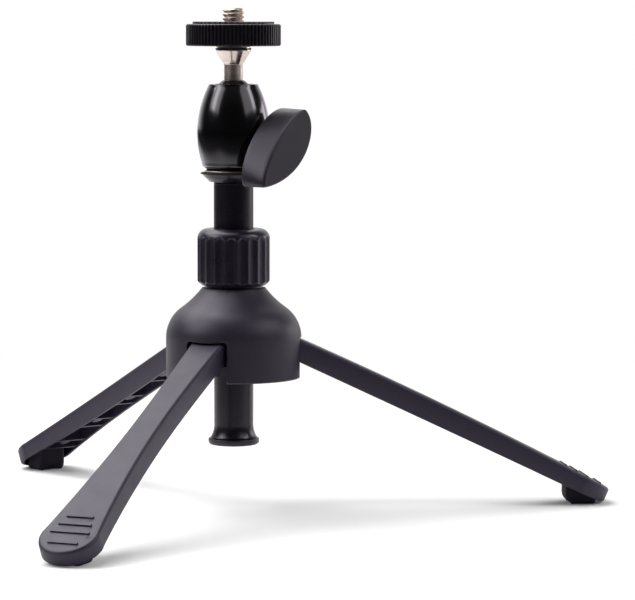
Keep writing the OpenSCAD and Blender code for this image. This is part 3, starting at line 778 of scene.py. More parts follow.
class Coat(Enum):
    """The finishes of the tripod, each named for its material slot."""

    HUB = Moulded("hub_polymer", (0.0125, 0.0095, 0.0195), 0.47, cloud=0.16)
    CORE = Moulded("core_polymer", (0.010, 0.010, 0.012), 0.55)
    LEG = Moulded("leg_polymer", (0.0145, 0.0115, 0.0245), 0.46, depth=0.012, cloud=0.07)
    NUT = Moulded("nut_polymer", (0.0078, 0.0058, 0.0120), 0.31, depth=0.006)
    CAP = Moulded("cap_polymer", (0.0120, 0.0095, 0.0170), 0.38, depth=0.008)
    RING = Moulded("ring_polymer", (0.30, 0.29, 0.27), 0.5)
    SLEEVE = Moulded("sleeve_polymer", (0.72, 0.70, 0.64), 0.45)
    PAD = Rubber("pad_rubber", (0.0045, 0.0035, 0.0085), 0.75)
    COLUMN = Anodised("column_satin", (0.0050, 0.0028, 0.0068), 0.29)
    FLANGE = Anodised("flange_black", (0.0060, 0.0045, 0.0075), 0.2)
    WASHER = Fibre("washer_fibre", (0.004, 0.004, 0.004), 0.8)
    HOUSING = Lacquer("housing_gloss", (0.0012, 0.0011, 0.0014), 0.16)
    BRASS = Turned("brass_parts", (0.80, 0.60, 0.30), 0.30)
    STEEL = Turned("pin_steel", (0.62, 0.62, 0.63), 0.28)
    STEM = Turned("stem_nickel", (0.70, 0.60, 0.545), 0.15, polished=(132.05, 137.5),
                  dulling=0.28)
    BALL = Turned("ball_dark", (0.045, 0.040, 0.040), 0.22, metallic=0.6)
    KNOB = Moulded("knob_metal", (0.0110, 0.0085, 0.0150), 0.43, grain=0.22, depth=0.008,
                   cloud=0.06)
    DISC = Anodised("disc_black", (0.0030, 0.0023, 0.0045), 0.36)


# ---- Repeating forms ----

@dataclass(frozen=True)
class Recipe:
    """A Geometry Nodes tree with named sizes."""

    name: str
    sizes: tuple[str, ...]
    lay: Callable[[Board, Wire, dict[str, Wire]], Wire]

    def tree(self) -> bpy.types.NodeTree:
        """The tree, made once: its own nodes, then Realize Instances and Set Material.

        Returns:
            The tree.
        """
        made = bpy.data.node_groups.get(self.name)
        if made:
            return made
        made = bpy.data.node_groups.new(self.name, "GeometryNodeTree")
        sockets = [("Geometry", "OUTPUT", "Geometry"), ("Geometry", "INPUT", "Geometry"),
                   ("Material", "INPUT", "Material"), *((s, "INPUT", "Float") for s in self.sizes)]
        for title, way, kind in sockets:
            made.interface.new_socket(title, in_out=way, socket_type=f"NodeSocket{kind}")
        board = Board(made)
        entry = board.node("NodeGroupInput")
        inlets = {socket.name: Wire(board, socket) for socket in entry.outputs if socket.name}
        shape = self.lay(board, inlets["Geometry"], inlets)
        whole = board.wire("GeometryNodeRealizeInstances", None, {"Geometry": shape})
        dressed = board.wire("GeometryNodeSetMaterial", None,
                             {"Geometry": whole, "Material": inlets["Material"]})
        board.node("NodeGroupOutput", None, {"Geometry": dressed})
        return made

    def run(self, piece: bpy.types.Object, coat: Coat, **sizes: float) -> bpy.types.Object:
        """Runs the tree on an object.

        Args:
            piece: The object; it is replaced.
            coat: The finish of the result.
            **sizes: A number for each of the tree's sizes, with _ for a space.

        Returns:
            An object with the resulting mesh, and no modifier.
        """
        tree = self.tree()
        modifier = piece.modifiers.new(self.name, "NODES")
        modifier.node_group = tree
        for item in tree.interface.items_tree:
            if item.in_out != "INPUT" or item.name == "Geometry":
                continue
            if item.name == "Material":
                modifier[item.identifier] = coat.value.material()
            else:
                modifier[item.identifier] = float(sizes[item.name.replace(" ", "_")])
        return settled(piece)


def lay_relief(board: Board, shape: Wire, size: dict[str, Wire]) -> Wire:
    """Cuts flutes, teeth or a thread into a turned shape.

    Args:
        board: The recipe's tree.
        shape: The mesh that comes in.
        size: The recipe's sizes, by name.

    Returns:
        The new shape.
    """
    x, y, z = board.parts(board.wire("GeometryNodeInputPosition"))
    radius = board.length(x, y)
    turn = board.math("ARCTAN2", y, x) / math.tau
    phase = board.math("FRACT", turn * size["Count"] - z * size["Lead"])
    off = board.math("MINIMUM", abs(phase - 0.5) * 2.0 / (1.0 - size["Land"]), 1.0)
    cut = size["Depth"] * (1.0 - off ** size["Power"])
    end = size["High"] - size["Arch"] * off * off
    window = z.fade(size["Low"], size["Low"] + size["Fade"])
    window = window * (1.0 - z.fade(end - size["Fade"], end))
    pared = board.math("MINIMUM", radius, size["Rim"] - cut)
    factor = 1.0 + (pared - radius) * window / radius
    return board.wire("GeometryNodeSetPosition", None,
                      {"Geometry": shape, "Position": board.vector(x * factor, y * factor, z)})


def lay_circle(board: Board, shape: Wire, size: dict[str, Wire]) -> Wire:
    """Copies a shape round the Z axis.

    Args:
        board: The recipe's tree.
        shape: The mesh that comes in.
        size: The recipe's sizes, by name.

    Returns:
        The new shape.
    """
    dots = board.wire("GeometryNodeMeshLine", None, {"Count": size["Count"], "Offset": (0, 0, 0)})
    turn = board.wire("GeometryNodeInputIndex") * math.tau / size["Count"] + size["Start"]
    turns = board.vector(0.0, 0.0, turn)
    return board.wire("GeometryNodeInstanceOnPoints", None,
                      {"Points": dots, "Instance": shape, "Rotation": turns})


def lay_row(board: Board, shape: Wire, size: dict[str, Wire]) -> Wire:
    """Copies a shape along X and stretches it to the walls of a waisted channel.

    Args:
        board: The recipe's tree.
        shape: The mesh that comes in.
        size: The recipe's sizes, by name.

    Returns:
        The new shape.
    """
    dots = board.wire("GeometryNodeMeshLine", None, {
        "Count": size["Count"],
        "Start Location": board.vector(size["Start"], 0.0, 0.0),
        "Offset": board.vector(size["Step"], 0.0, 0.0),
    })
    copies = board.wire("GeometryNodeInstanceOnPoints", None, {"Points": dots, "Instance": shape})
    whole = board.wire("GeometryNodeRealizeInstances", None, {"Geometry": copies})
    x, y, z = board.parts(board.wire("GeometryNodeInputPosition"))
    past = board.math("GREATER_THAN", x, size["Waist At"])
    span = size["Waist At"] * (1.0 - past) + (size["Foot At"] - size["Waist At"]) * past
    end = size["Root"] * (1.0 - past) + size["Foot"] * past
    along = (x - size["Waist At"]) / span
    half = (size["Waist"] + (end - size["Waist"]) * along * along) * 0.5 - size["Wall"]
    shift = board.math("SIGN", y) * (half - size["Reach"]) * size["Spread"]
    return board.wire("GeometryNodeSetPosition", None,
                      {"Geometry": whole, "Position": board.vector(x, y + shift, z)})


RELIEF = Recipe("relief", ("Count", "Lead", "Land", "Power", "Depth", "Rim", "Low", "High",
                           "Arch", "Fade"), lay_relief)
CIRCLE = Recipe("circle", ("Count", "Start"), lay_circle)
ROW = Recipe("row", ("Count", "Start", "Step", "Spread", "Waist At", "Foot At", "Root", "Waist",
                     "Foot", "Wall", "Reach"), lay_row)


# ---- Handing over ----

def place_piece(piece: bpy.types.Object, body: str, coat: Coat, *nodes: str) -> None:
    """Gives a finished piece its material and its body, and hides the CAD nodes that it stands for.

    Args:
        piece: The piece.
        body: The body that it rides on.
        coat: Its finish, which also names its slot.
        *nodes: The CAD nodes that it replaces.
    """
    piece.data.materials.clear()
    piece.data.materials.append(coat.value.material())
    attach(piece, body)
    if nodes:
        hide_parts(*nodes)
    LOG.info("%s: %d faces, on %s, for %s", piece.name, len(piece.data.polygons), body,
             ", ".join(nodes) or "-")


def dress(coat: Coat, *nodes: str) -> None:
    """Gives CAD nodes that stay a finish.

    Args:
        coat: The finish.
        *nodes: Names of the nodes.
    """
    for node in nodes:
        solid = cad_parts[node]
        solid.data.materials.clear()
        solid.data.materials.append(coat.value.material())
        LOG.info("%s: the solid, in %s", node, coat.value.name)


# ---- Legs ----

def leg_turn(k: int) -> Matrix:
    """Turn about the Z axis from the first leg to leg k + 1."""
    return Matrix.Rotation(math.radians(LEG_TURN * k), 4, "Z")


@dataclass
class Station:
    """A point of a leg's outline, its way inwards and the row of the top that starts there."""

    u: float
    v: float
    inward: Point
    row: float

    def inset(self, by: float) -> Point:
        """The point, moved inwards."""
        return self.u + by * self.inward[0], self.v + by * self.inward[1]


@dataclass
class Tread:
    """One raised tread of a foot, between two distances down the leg."""

    upper: float
    lower: float
    half: float
    rise: float = 0.45
    crest: float = 0.7
    tail: float = 0.06
    step: float = 0.04

    def height(self, u: float, v: float) -> float:
        """Height of the crest, or of the ramp under it, over the leg's top at a place on it.

        Args:
            u: Distance down the leg.
            v: Distance from its middle.

        Returns:
            Height over the leg's top there.
        """
        if abs(v) > self.half + SLACK or not self.upper - SLACK <= u <= self.lower + SLACK:
            return 0.0
        end = self.upper + self.crest
        return self.rise if u <= end + SLACK else self.tail * (self.lower - u) / (self.lower - end)

    def marks(self) -> list[float]:
        """Distances down the leg at which the tread's height changes."""
        end = self.upper + self.crest
        return [self.upper - self.step, self.upper, end, end + self.step,
                self.lower, self.lower + self.step]


@dataclass
class Leg:
    """A folding leg: skin, walls, barrel, ribs and posts in the channel, and treads on top.

    In its own frame X runs down the leg from the pin, Y across it and Z out of its top.
    """

    length: float = 110.5
    slope: float = 25.4
    root_width: float = 11.0
    waist_width: float = 8.8
    waist_at: float = 40.0
    foot_width: float = 17.4
    root_thick: float = 6.2
    tip_thick: float = 4.7
    bow: float = 1.05
    skin: float = 1.5
    wall: float = 1.3
    lip: float = 0.2
    cove: float = 0.5
    solid: float = 9.0
    edge: float = 1.0
    low_edge: float = 0.5
    tip_edge: float = 1.0
    pin: float = 2.6
    rib: float = 1.0
    rib_recess: float = 0.4
    fillet: float = 1.3
    cells: int = 4
    long_share: float = 0.66
    post: float = 3.4
    post_round: float = 0.3
    post_root: float = 1.2
    post_flare: float = 0.7
    rib_end: float = 93.06
    buried: float = 2.0
    tread_end: float = 2.3
    tread_step: float = 4.0
    tread_length: float = 3.1
    tread_half: float = 5.8
    tread_shares: tuple[float, ...] = (0.76, 1.0, 0.84, 0.68)
    spacing: float = 3.0
    tip_steps: int = 18
    foot_at: float = field(init=False)
    low: float = field(init=False)
    treads: list[Tread] = field(init=False)

    def __post_init__(self) -> None:
        """Works out the foot's centre, the underside's height and the treads."""
        self.foot_at = self.length - self.foot_width / 2
        self.low = -self.root_thick / 2
        self.treads = []
        for i, share in enumerate(self.tread_shares):
            lower = self.length - self.tread_end - self.tread_step * i
            self.treads.append(Tread(lower - self.tread_length * share, lower,
                                     self.tread_half * share))

    def top(self, u: float) -> float:
        """Height of the top surface.

        Args:
            u: Distance down the leg.

        Returns:
            The height.
        """
        x = u / self.length
        taper = (self.tip_thick - self.root_thick) * x
        return self.root_thick / 2 + taper + 4 * self.bow * x * (1 - x)

    def half_width(self, u: float) -> float:
        """Half of the width between root and foot.

        Args:
            u: Distance down the leg.

        Returns:
            Half of the width.
        """
        root_side = u < self.waist_at
        span = self.waist_at if root_side else self.foot_at - self.waist_at
        end = self.root_width if root_side else self.foot_width
        return (self.waist_width + (end - self.waist_width) * ((u - self.waist_at) / span) ** 2) / 2

    def stations(self) -> list[Station]:
        """One side of the outline, from the root to the tip.

        Returns:
            The points, with more of them where a tread begins or ends.
        """
        radius, clear, d = self.foot_width / 2, 0.2, 0.01
        lean = math.atan((self.foot_width - self.waist_width) / (self.foot_at - self.waist_at))
        last = self.foot_at - radius * math.sin(lean)
        marks = [m for t in self.treads for m in t.marks()]
        plain = [self.solid] + [self.spacing * i for i in range(int(last / self.spacing) + 1)]
        found: list[Station] = []
        for u in sorted(set(plain + [m for m in marks if m < last - clear])):
            slope = (self.half_width(u + d) - self.half_width(u - d)) / (2 * d) if u > 0 else 0.0
            size = math.hypot(slope, 1)
            inward = (slope / size, -1 / size)
            row = u if u in marks else u + self.edge * inward[0]
            found.append(Station(u, self.half_width(u), inward, row))
        turns = [(math.pi / 2 + lean) * (1 - i / self.tip_steps) for i in range(self.tip_steps)]
        rows = {turn: self.foot_at + (radius - self.edge) * math.cos(turn) for turn in turns}
        for m in marks:
            if last - clear <= m < self.length - self.edge:
                rows[math.acos((m - self.foot_at) / (radius - self.edge))] = m
        for turn in sorted(rows, reverse=True):
            x, y = math.cos(turn), math.sin(turn)
            found.append(Station(self.foot_at + radius * x, radius * y, (-x, -y), rows[turn]))
        return found + [Station(self.length, 0.0, (-1.0, 0.0), self.length - self.edge)]

    def body(self) -> bpy.types.Object:
        """The skin with its rounded edges, the treads and the channel.

        Returns:
            The object, in the frame of the leg.
        """
        shell = Shell()
        side = self.stations()

        def whole(half: list[Corner]) -> list[int]:
            """A row down one side, round the tip and back up the other side."""
            return shell.ring(half + [(u, -v, w) for u, v, w in half[-2::-1]])

        def ring(by: float, height: Callable[[float], float], start: float = 0.0) -> list[int]:
            """A row round the outline, set in, from a distance down the leg on.

            Args:
                by: How far in.
                height: Height at a distance down the leg.
                start: Where the row begins.

            Returns:
                The points' numbers.
            """
            half = [s.inset(by) for s in side if s.u >= start - TINY]
            return whole([(u, v, height(u)) for u, v in half])

        def bevel(turn: float) -> list[int]:
            """A row of the lower rounding, whose radius grows round the tip.

            Args:
                turn: How far round the rounding, in radians.

            Returns:
                The points' numbers.
            """
            half = []
            for s in side:
                more = (self.tip_edge - self.low_edge) * max(0.0, -s.inward[0]) ** 2
                radius = self.low_edge + more
                half.append((*s.inset(radius * (1 - math.cos(turn))),
                             self.low + radius * (1 - math.sin(turn))))
            return whole(half)

        rings = [ring(self.edge * (1 - math.sin(a)),
                      lambda u, a=a: self.top(u) - self.edge * (1 - math.cos(a)))
                 for a in quarter(6)]
        rings += [bevel(a) for a in quarter(6)]
        shell.skin(rings, closed=False)
        self.cover(shell, side, rings[0])
        self.hollow(shell, side, rings[-1], ring)
        return shell.build("leg_body")

    def cover(self, shell: Shell, side: list[Station], rim: list[int]) -> None:
        """Fills the top inside its rounded edge, with the treads raised.

        Args:
            shell: The leg's shell.
            side: Stations of one side.
            rim: The points where the rounded edge meets the top.
        """
        core, lip, least = 2.0, 0.05, 0.03
        lines = sorted({core} | {w for t in self.treads for w in (t.half, t.half + lip)})
        rows: list[list[int]] = []
        for i, station in enumerate(side[:-1]):
            half, u = abs(shell.points[rim[i]].y), station.row
            spread = [min(w, half - least * (len(lines) - n)) for n, w in enumerate(lines)]
            inner = shell.ring((u, v, self.top(u) + sum(t.height(u, v) for t in self.treads))
                               for v in [*reversed(spread), 0.0, *(-w for w in spread)])
            rows.append([rim[i], *inner, rim[-1 - i]])
        shell.skin(rows, closed=False)
        shell.strip(rows[-1], [rim[len(side) - 1]], closed=False)

    def hollow(self, shell: Shell, side: list[Station], rim: list[int],
               ring: Callable[..., list[int]]) -> None:
        """Closes the underside: the solid root, the walls' lower faces and the channel.

        Args:
            shell: The leg's shell.
            side: Stations of one side.
            rim: The lowest row of the outer wall.
            ring: What adds a row of points round the outline.
        """
        def across(row: list[int], count: int) -> None:
            """Joins the two sides of a row, pair by pair."""
            for i in range(count):
                shell.faces.append([row[i], row[i + 1], row[-2 - i], row[-1 - i]])

        def level(by: float, height: Callable[[float], float]) -> list[int]:
            """A row of the channel's wall, further in than the outline."""
            return ring(self.wall + by, height, self.solid)

        def roof(under: float) -> Callable[[float], float]:
            """Heights under the skin's lower side."""
            return lambda u: self.top(u) - self.skin - under

        start = next(i for i, s in enumerate(side) if s.u >= self.solid - TINY)
        across(rim, start - 1)
        rows = [level(-self.lip, lambda u: self.low), level(0.0, lambda u: self.low + self.lip),
                level(0.0, roof(self.cove)), level(0.3 * self.cove, roof(0.3 * self.cove)),
                level(self.cove, roof(0.0))]
        lip, top, tip = rows[0], rows[-1], len(rows[-1]) // 2
        shell.strip(rim[start:len(rim) - start], lip, closed=False)
        shell.faces.append([rim[start - 1], rim[start], lip[0], lip[-1],
                            rim[-1 - start], rim[-start]])
        shell.skin(rows)
        across(top, tip - 1)
        shell.faces.append([top[tip - 1], top[tip], top[tip + 1]])

    def barrel(self) -> bpy.types.Object:
        """The round root that the pin goes through."""
        half, radius, bore, soft = self.root_width / 2, self.root_thick / 2, self.pin / 2, 0.5
        return turned("leg_barrel", [(bore, -half, 0), (radius, -half, soft),
                                     (radius, half, soft), (bore, half, 0)],
                      64, loop=True, place=Matrix.Rotation(math.radians(90), 4, "X"))

    def stiffeners(self) -> list[bpy.types.Object]:
        """Ribs across the channel, with fillets at the walls, and the posts between them.

        Returns:
            The ribs and the posts, in the frame of the leg.
        """
        reach, sink, f = 10.0, 0.4, self.fillet
        start, cell = self.solid, (self.rib_end - self.solid) / self.cells
        end = [(-f, reach + sink), *arc((-f, reach - f), f, 90, 0, 6)]
        flank = end + [(x, -y) for x, y in reversed(end)]
        outline = flank + [(self.rib - x, y) for x, y in reversed(flank)]
        sizes = {"Step": cell, "Waist_At": self.waist_at, "Foot_At": self.foot_at,
                 "Root": self.root_width, "Waist": self.waist_width, "Foot": self.foot_width,
                 "Wall": self.wall, "Reach": reach}
        walls = {name: size * MM for name, size in sizes.items()}
        made = []
        second = start + self.long_share * cell
        for name, count, first in (("ends", self.cells + 1, start), ("ribs", self.cells, second)):
            shell = Shell()
            shell.prism(outline, self.low + self.rib_recess, self.buried)
            made.append(ROW.run(shell.build(name), Coat.LEG, Count=count, Start=first * MM,
                                Spread=1, **walls))
        foot, radius, soft = self.low + 2 * self.rib_recess, self.post / 2, self.post_round
        post = turned("posts", [
            (0, foot, 0), (radius, foot, soft), (radius, self.post_root, 2 * soft),
            (radius + self.post_flare, self.buried, 0), (0, self.buried, 0)], 24)
        first = start + (1 + self.long_share) / 2 * cell
        made.append(ROW.run(post, Coat.LEG, Count=self.cells, Start=first * MM, Spread=0, **walls))
        return made

    def build(self) -> None:
        """Makes the leg once and sets it in its three places."""
        made = [self.body(), self.barrel(), *self.stiffeners()]
        pin = middle("leg_pin_1")
        for k in range(3):
            place = (leg_turn(k) @ Matrix.Translation(Vector((pin.x, 0, pin.z)) * MM)
                     @ Matrix.Rotation(math.radians(self.slope), 4, "Y"))
            piece = joined(f"leg_shell_{k + 1}", made, place)
            place_piece(piece, f"leg_body_{k + 1}", Coat.LEG, f"leg_{k + 1}")
        for piece in made:
            bpy.data.objects.remove(piece)


@dataclass
class FootPad:
    """The rubber block under each foot."""

    length: float = 9.2
    width: float = 9.2
    corner: float = 1.6
    heel: float = 3.0
    heel_from: float = 0.55
    round_low: float = 0.9
    spacing: float = 1.2
    gap: float = 0.02

    def build(self, leg: Leg) -> None:
        """Makes the three pads.

        Args:
            leg: The leg whose skin the pads end under.
        """
        centre, pin = middle("foot_pad_1").x, middle("leg_pin_1")
        fall, run = math.sin(math.radians(leg.slope)), math.cos(math.radians(leg.slope))
        x, y = self.length / 2, self.width / 2
        corners = [(i, j, self.corner) for i, j in ((x, -y), (x, y), (-x, y), (-x, -y))]
        outline = divided(rounded(corners, loop=True, steps=8), self.spacing)
        shell = Shell()

        def level(turn: float) -> list[int]:
            """A row of the lower rounding; its radius grows towards the heel.

            Args:
                turn: How far round the rounding, in radians.

            Returns:
                The points' numbers.
            """
            row = []
            for px, py in outline:
                heel = max(0.0, min(1.0, (-px / x - self.heel_from) / (1 - self.heel_from)))
                more = (self.heel - self.round_low) * heel * heel * (3 - 2 * heel)
                radius = self.round_low + more
                inset = radius * (1 - math.cos(turn))
                cx = max(-x + radius, min(x - radius, px))
                cy = max(-y + radius, min(y - radius, py))
                span = math.hypot(px - cx, py - cy) or 1.0
                row.append((px - (px - cx) / span * inset, py - (py - cy) / span * inset,
                            radius * (1 - math.sin(turn))))
            return shell.ring(row)

        rows = [level(a) for a in reversed(quarter(6))]
        upper = []
        for px, py in outline:
            away = centre + px - pin.x
            w = leg.top(away / run) - leg.skin - self.gap
            u = (away - w * fall) / run
            upper.append((px, py, pin.z - u * fall + w * run))
        shell.skin([*rows, shell.ring(upper)])
        for k in range(3):
            piece = shell.build(f"rubber_foot_{k + 1}",
                                leg_turn(k) @ Matrix.Translation((centre, 0, 0)))
            place_piece(piece, f"leg_body_{k + 1}", Coat.PAD, f"foot_pad_{k + 1}")


# ---- Hub ----

@dataclass
class Hub:
    """The bell with its three leg slots and threaded collar, and what it holds.

    Heights in its methods are over the hub's lower edge.
    """

    diameter: float = 40.2
    height: float = 26.7
    shoulder: float = 10.8
    skirt: float = 11.9
    turn: float = 54.5
    sag: float = 0.45
    top: float = 18.8
    wall: float = 2.0
    collar: float = 16.4
    collar_height: float = 12.4
    bore: float = 7.2
    slot_half: float = 6.3
    slot_round: float = 1.1
    slot_gap: float = 0.45
    soft: float = 0.3
    lead_in: float = 0.35
    straight: tuple[float, ...] = (0.0, 0.35, 1.5, 3.5, 5.5, 7.4)
    settle: float = 3.5
    fan: float = 14.0
    inside: int = 8
    between: int = 9
    clear: float = 0.2
    brow: float = 0.25
    neck_fillet: float = 0.15
    collar_round: float = 0.3
    tilt: float = field(init=False)
    slot_top: float = field(init=False)

    def bell(self, inset: float) -> list[Point]:
        """Outline of the bell above its skirt, as (radius, height).

        Args:
            inset: Distance in from the outer skin.

        Returns:
            Its points, from the skirt up.
        """
        centre = (self.diameter / 2 - self.shoulder, self.skirt)
        curve = arc(centre, self.shoulder - inset, 0, self.turn, 14)
        bx, bz = curve[-1]
        tx, tz = self.top / 2 - inset, self.height - inset
        for i in range(1, 9):
            t = i / 8
            dip = 2 * self.sag * t * (1 - t)
            curve.append((bx + (tx - bx) * t - dip, bz + (tz - bz) * t - dip))
        return curve

    def build(self, leg: Leg) -> None:
        """Makes the bell and dresses the solids inside it.

        Args:
            leg: The leg that the slots are cut for.
        """
        pin = middle("leg_pin_1")
        self.tilt = math.cos(math.radians(leg.slope))
        ahead = self.diameter / 2 - pin.x
        above = (leg.top(ahead / self.tilt) + self.slot_gap) / self.tilt
        fall = ahead * math.tan(math.radians(leg.slope))
        self.slot_top = pin.z + above - fall - low("hub_shell").z
        self.shell()
        dress(Coat.CORE, "hub_core")
        dress(Coat.STEEL, "leg_pin_1", "leg_pin_2", "leg_pin_3")
        self.screws()

    def half_slot(self, z: float, grow: float) -> float:
        """Half width of a slot at a height, made larger all round by grow.

        Args:
            z: The height.
            grow: The margin.

        Returns:
            Half of the width, 0 or more.
        """
        top, bend = self.slot_top + grow, self.slot_round + grow
        rise = max(0.0, (z - top) * self.tilt + bend)
        return self.slot_half + grow - bend + math.sqrt(max(0.0, bend * bend - rise * rise))

    def lifted(self, ahead: float, z: float) -> float:
        """Height of a point once the slots' roofs slope down outwards with the legs.

        Args:
            ahead: Distance of the point from the axis, along the leg that is nearest.
            z: Its height where a roof would be level.

        Returns:
            Its height under a sloping roof.
        """
        start, rest = self.slot_top - self.slot_round / self.tilt, self.slot_top + self.soft
        foot = self.straight[-1]
        share = max(0.0, min(1.0, (z - foot) / (start - foot), 1 - (z - rest) / self.settle))
        return z + (self.diameter / 2 - ahead) * math.tan(math.acos(self.tilt)) * share

    def levels(self, grow: float) -> list[float]:
        """Heights of the rows up to a slot's top, closer together where its corners bend.

        Args:
            grow: Margin by which the slots are larger.

        Returns:
            The heights, from the edge up.
        """
        bend = (self.slot_round + grow) / self.tilt
        start = self.slot_top + grow - bend
        return [*self.straight, *(start + bend * math.sin(a) for a in quarter(6))]

    def shell(self) -> None:
        """The bell: full rings above the slots, and three stretches of skirt between them."""
        base = low("hub_shell").z
        outer_r, inner_r = self.diameter / 2, self.diameter / 2 - self.wall
        slot_top, soft, inside, between = self.slot_top, self.soft, self.inside, self.between
        per = 2 * between + inside
        gaps = {k * per + between + i for k in range(3) for i in range(inside)}
        shell = Shell()

        def row(radius: float, z: float, grow: float) -> list[int]:
            """A full ring whose points stand closer to the slots' edges below their tops.

            Args:
                radius: Its radius.
                z: Its height where no roof lifts it.
                grow: Margin of the slots.

            Returns:
                The points' numbers.
            """
            reach = self.half_slot(min(z, slot_top + grow), grow)
            wide = radius if z <= slot_top + grow else outer_r if grow else inner_r
            edge = math.degrees(math.asin(reach / wide))
            sector = [-60 + (60 - edge) * i / between for i in range(between)]
            sector += [edge * (2 * i / inside - 1) for i in range(inside + 1)]
            sector += [edge + (60 - edge) * i / between for i in range(1, between)]
            points = []
            for k in range(3):
                for turn in sector:
                    ahead = radius * math.cos(math.radians(max(-edge, min(edge, turn))))
                    near = min(1.0, max(0.0, 1 - (abs(turn) - edge) / self.fan))
                    height = z + (self.lifted(ahead, z) - z) * near
                    a = math.radians(LEG_TURN * k + turn)
                    points.append((radius * math.cos(a), radius * math.sin(a), base + height))
            return shell.ring(points)

        def skirt(rows: list[list[int]]) -> None:
            """Joins rows everywhere but across the slots."""
            for a, b in zip(rows, rows[1:]):
                for i in set(range(len(a))) - gaps:
                    j = (i + 1) % len(a)
                    shell.faces.append([a[i], a[j], b[j], b[i]])

        def rim(rows: list[list[int]], k: int) -> list[int]:
            """The points that bound a slot: up one side, along its roof, down the other.

            Args:
                rows: Rows of the outer or of the inner skin.
                k: Number of the slot, from 0.

            Returns:
                The points' numbers.
            """
            first, last = k * per + between, k * per + between + inside
            sides = rows[:-1]
            return ([r[first] for r in sides] + rows[-1][first:last + 1]
                    + [r[last] for r in reversed(sides)])

        foot_r = outer_r - self.lead_in
        outer = [row(foot_r if z == 0 else outer_r, z, soft) for z in self.levels(soft)]
        inner = [row(inner_r, z, 0.0) for z in self.levels(0.0)]
        skirt(outer)
        skirt(inner)
        clear = slot_top + self.clear
        upper = [(r, z) for r, z in self.bell(0.0) if z > clear + soft]
        collar_r, collar_z = self.collar / 2, self.height + self.collar_height
        crown = rounded([(*upper[-2], 0), (*upper[-1], self.brow),
                         (collar_r, self.height, self.neck_fillet),
                         (collar_r, collar_z, self.collar_round),
                         (self.bore, collar_z, self.collar_round),
                         (self.bore, self.height - self.wall - 0.01, 0)])
        under = [(r, z) for r, z in reversed(self.bell(self.wall))
                 if z > clear and r > self.bore + 0.1]
        shell.skin([outer[-1], *(row(r, z, soft) for r, z in upper[:-2] + crown),
                    *(row(r, z, 0.0) for r, z in under), inner[-1]])
        for k in range(3):
            ridges = [rim(outer, k)]
            for a in quarter(4)[1:]:
                grow, sink = soft * (1 - math.sin(a)), soft * (1 - math.cos(a))
                side = [(self.half_slot(z, grow), z) for z in self.levels(grow)]
                wide, roof = side.pop()
                flat = [(-y, z) for y, z in side]
                flat += [(wide * (2 * i / inside - 1), roof) for i in range(inside + 1)]
                line = []
                for y, z in [*flat, *reversed(side)]:
                    ahead = math.sqrt(((foot_r if z == 0 else outer_r) - sink) ** 2 - y * y)
                    line.append(leg_turn(k) @ Vector((ahead, y, base + self.lifted(ahead, z))))
                ridges.append(shell.ring(line))
            shell.skin([*ridges, rim(inner, k)], closed=False)
        place_piece(shell.build("hub_bell"), "hub", Coat.HUB, "hub_shell")

    def screws(self) -> None:
        """Three pan-head screws with a cross recess, set in the core from below."""
        base, top = low("hub_screws").z, high("hub_screws").z
        ring, head, shank, rise = 13.2, 2.2, 1.1, 1.3
        arm, half, recess = 1.2, 0.3, 0.75
        at = Matrix.Translation((ring, 0, base))
        screw = turned("screw", [(0, 0, 0), (head, 0, 0.45), (head, rise, 0.1), (shank, rise, 0),
                                 (shank, top - base, 0.2), (0, top - base, 0)], 44, place=at)
        outline: list[Point] = []
        bend = [(arm, half), (half, half), (half, arm)]
        for _ in range(4):
            outline += bend
            bend = [(-y, x) for x, y in bend]
        cross = Shell()
        cross.prism(outline, -0.5, recess)
        screw = cut_out(screw, cross.build("cross", at))
        piece = CIRCLE.run(screw, Coat.STEEL, Count=3, Start=math.radians(60))
        piece.name = "base_screws"
        place_piece(piece, "hub", Coat.STEEL, "hub_screws")


# ---- Twist lock ----

@dataclass
class TwistLock:
    """The fluted nut, with the ring and the split sleeve that it works."""

    diameter: float = 21.5
    rounding: float = 2.9
    chamfer: float = 1.2
    flutes: int = 20
    depth: float = 0.55
    flute_end: float = 1.9
    arch: float = 1.2
    cavity: float = 8.25
    hole: float = 6.05
    top_wall: float = 2.0
    spacing: float = 0.35

    def build(self) -> None:
        """Makes the nut and dresses the ring and the sleeve."""
        base, top, radius = low("lock_nut").z, high("lock_nut").z, self.diameter / 2
        ceiling, inset = top - self.top_wall, radius - self.rounding
        wall = rounded([(self.cavity, base, 0), (radius - self.chamfer, base, 0.2),
                        (radius, base + self.chamfer, 0.3), (radius, top - self.rounding, 0)])
        wall += arc((inset, top - self.rounding), self.rounding, 0, 90, 12)[1:]
        wall = wall[:1] + divided(wall[1:], self.spacing)
        wall += rounded([(inset, top, 0), (self.hole, top, 0.3), (self.hole, ceiling, 0),
                         (self.cavity, ceiling, 0)])[1:]
        shell = Shell()
        shell.lathe(wall, self.flutes * 12)
        piece = RELIEF.run(shell.build("fluted_nut"), Coat.NUT, Count=self.flutes, Lead=0,
                           Land=0.07, Power=2, Depth=self.depth * MM, Rim=radius * MM,
                           Low=(base - 2) * MM, High=(top - self.flute_end) * MM,
                           Arch=self.arch * MM, Fade=0.5 * MM)
        place_piece(piece, "nut", Coat.NUT, "lock_nut")
        dress(Coat.RING, "wedge_ring")
        dress(Coat.SLEEVE, "collet_sleeve")


# ---- Column and head ----

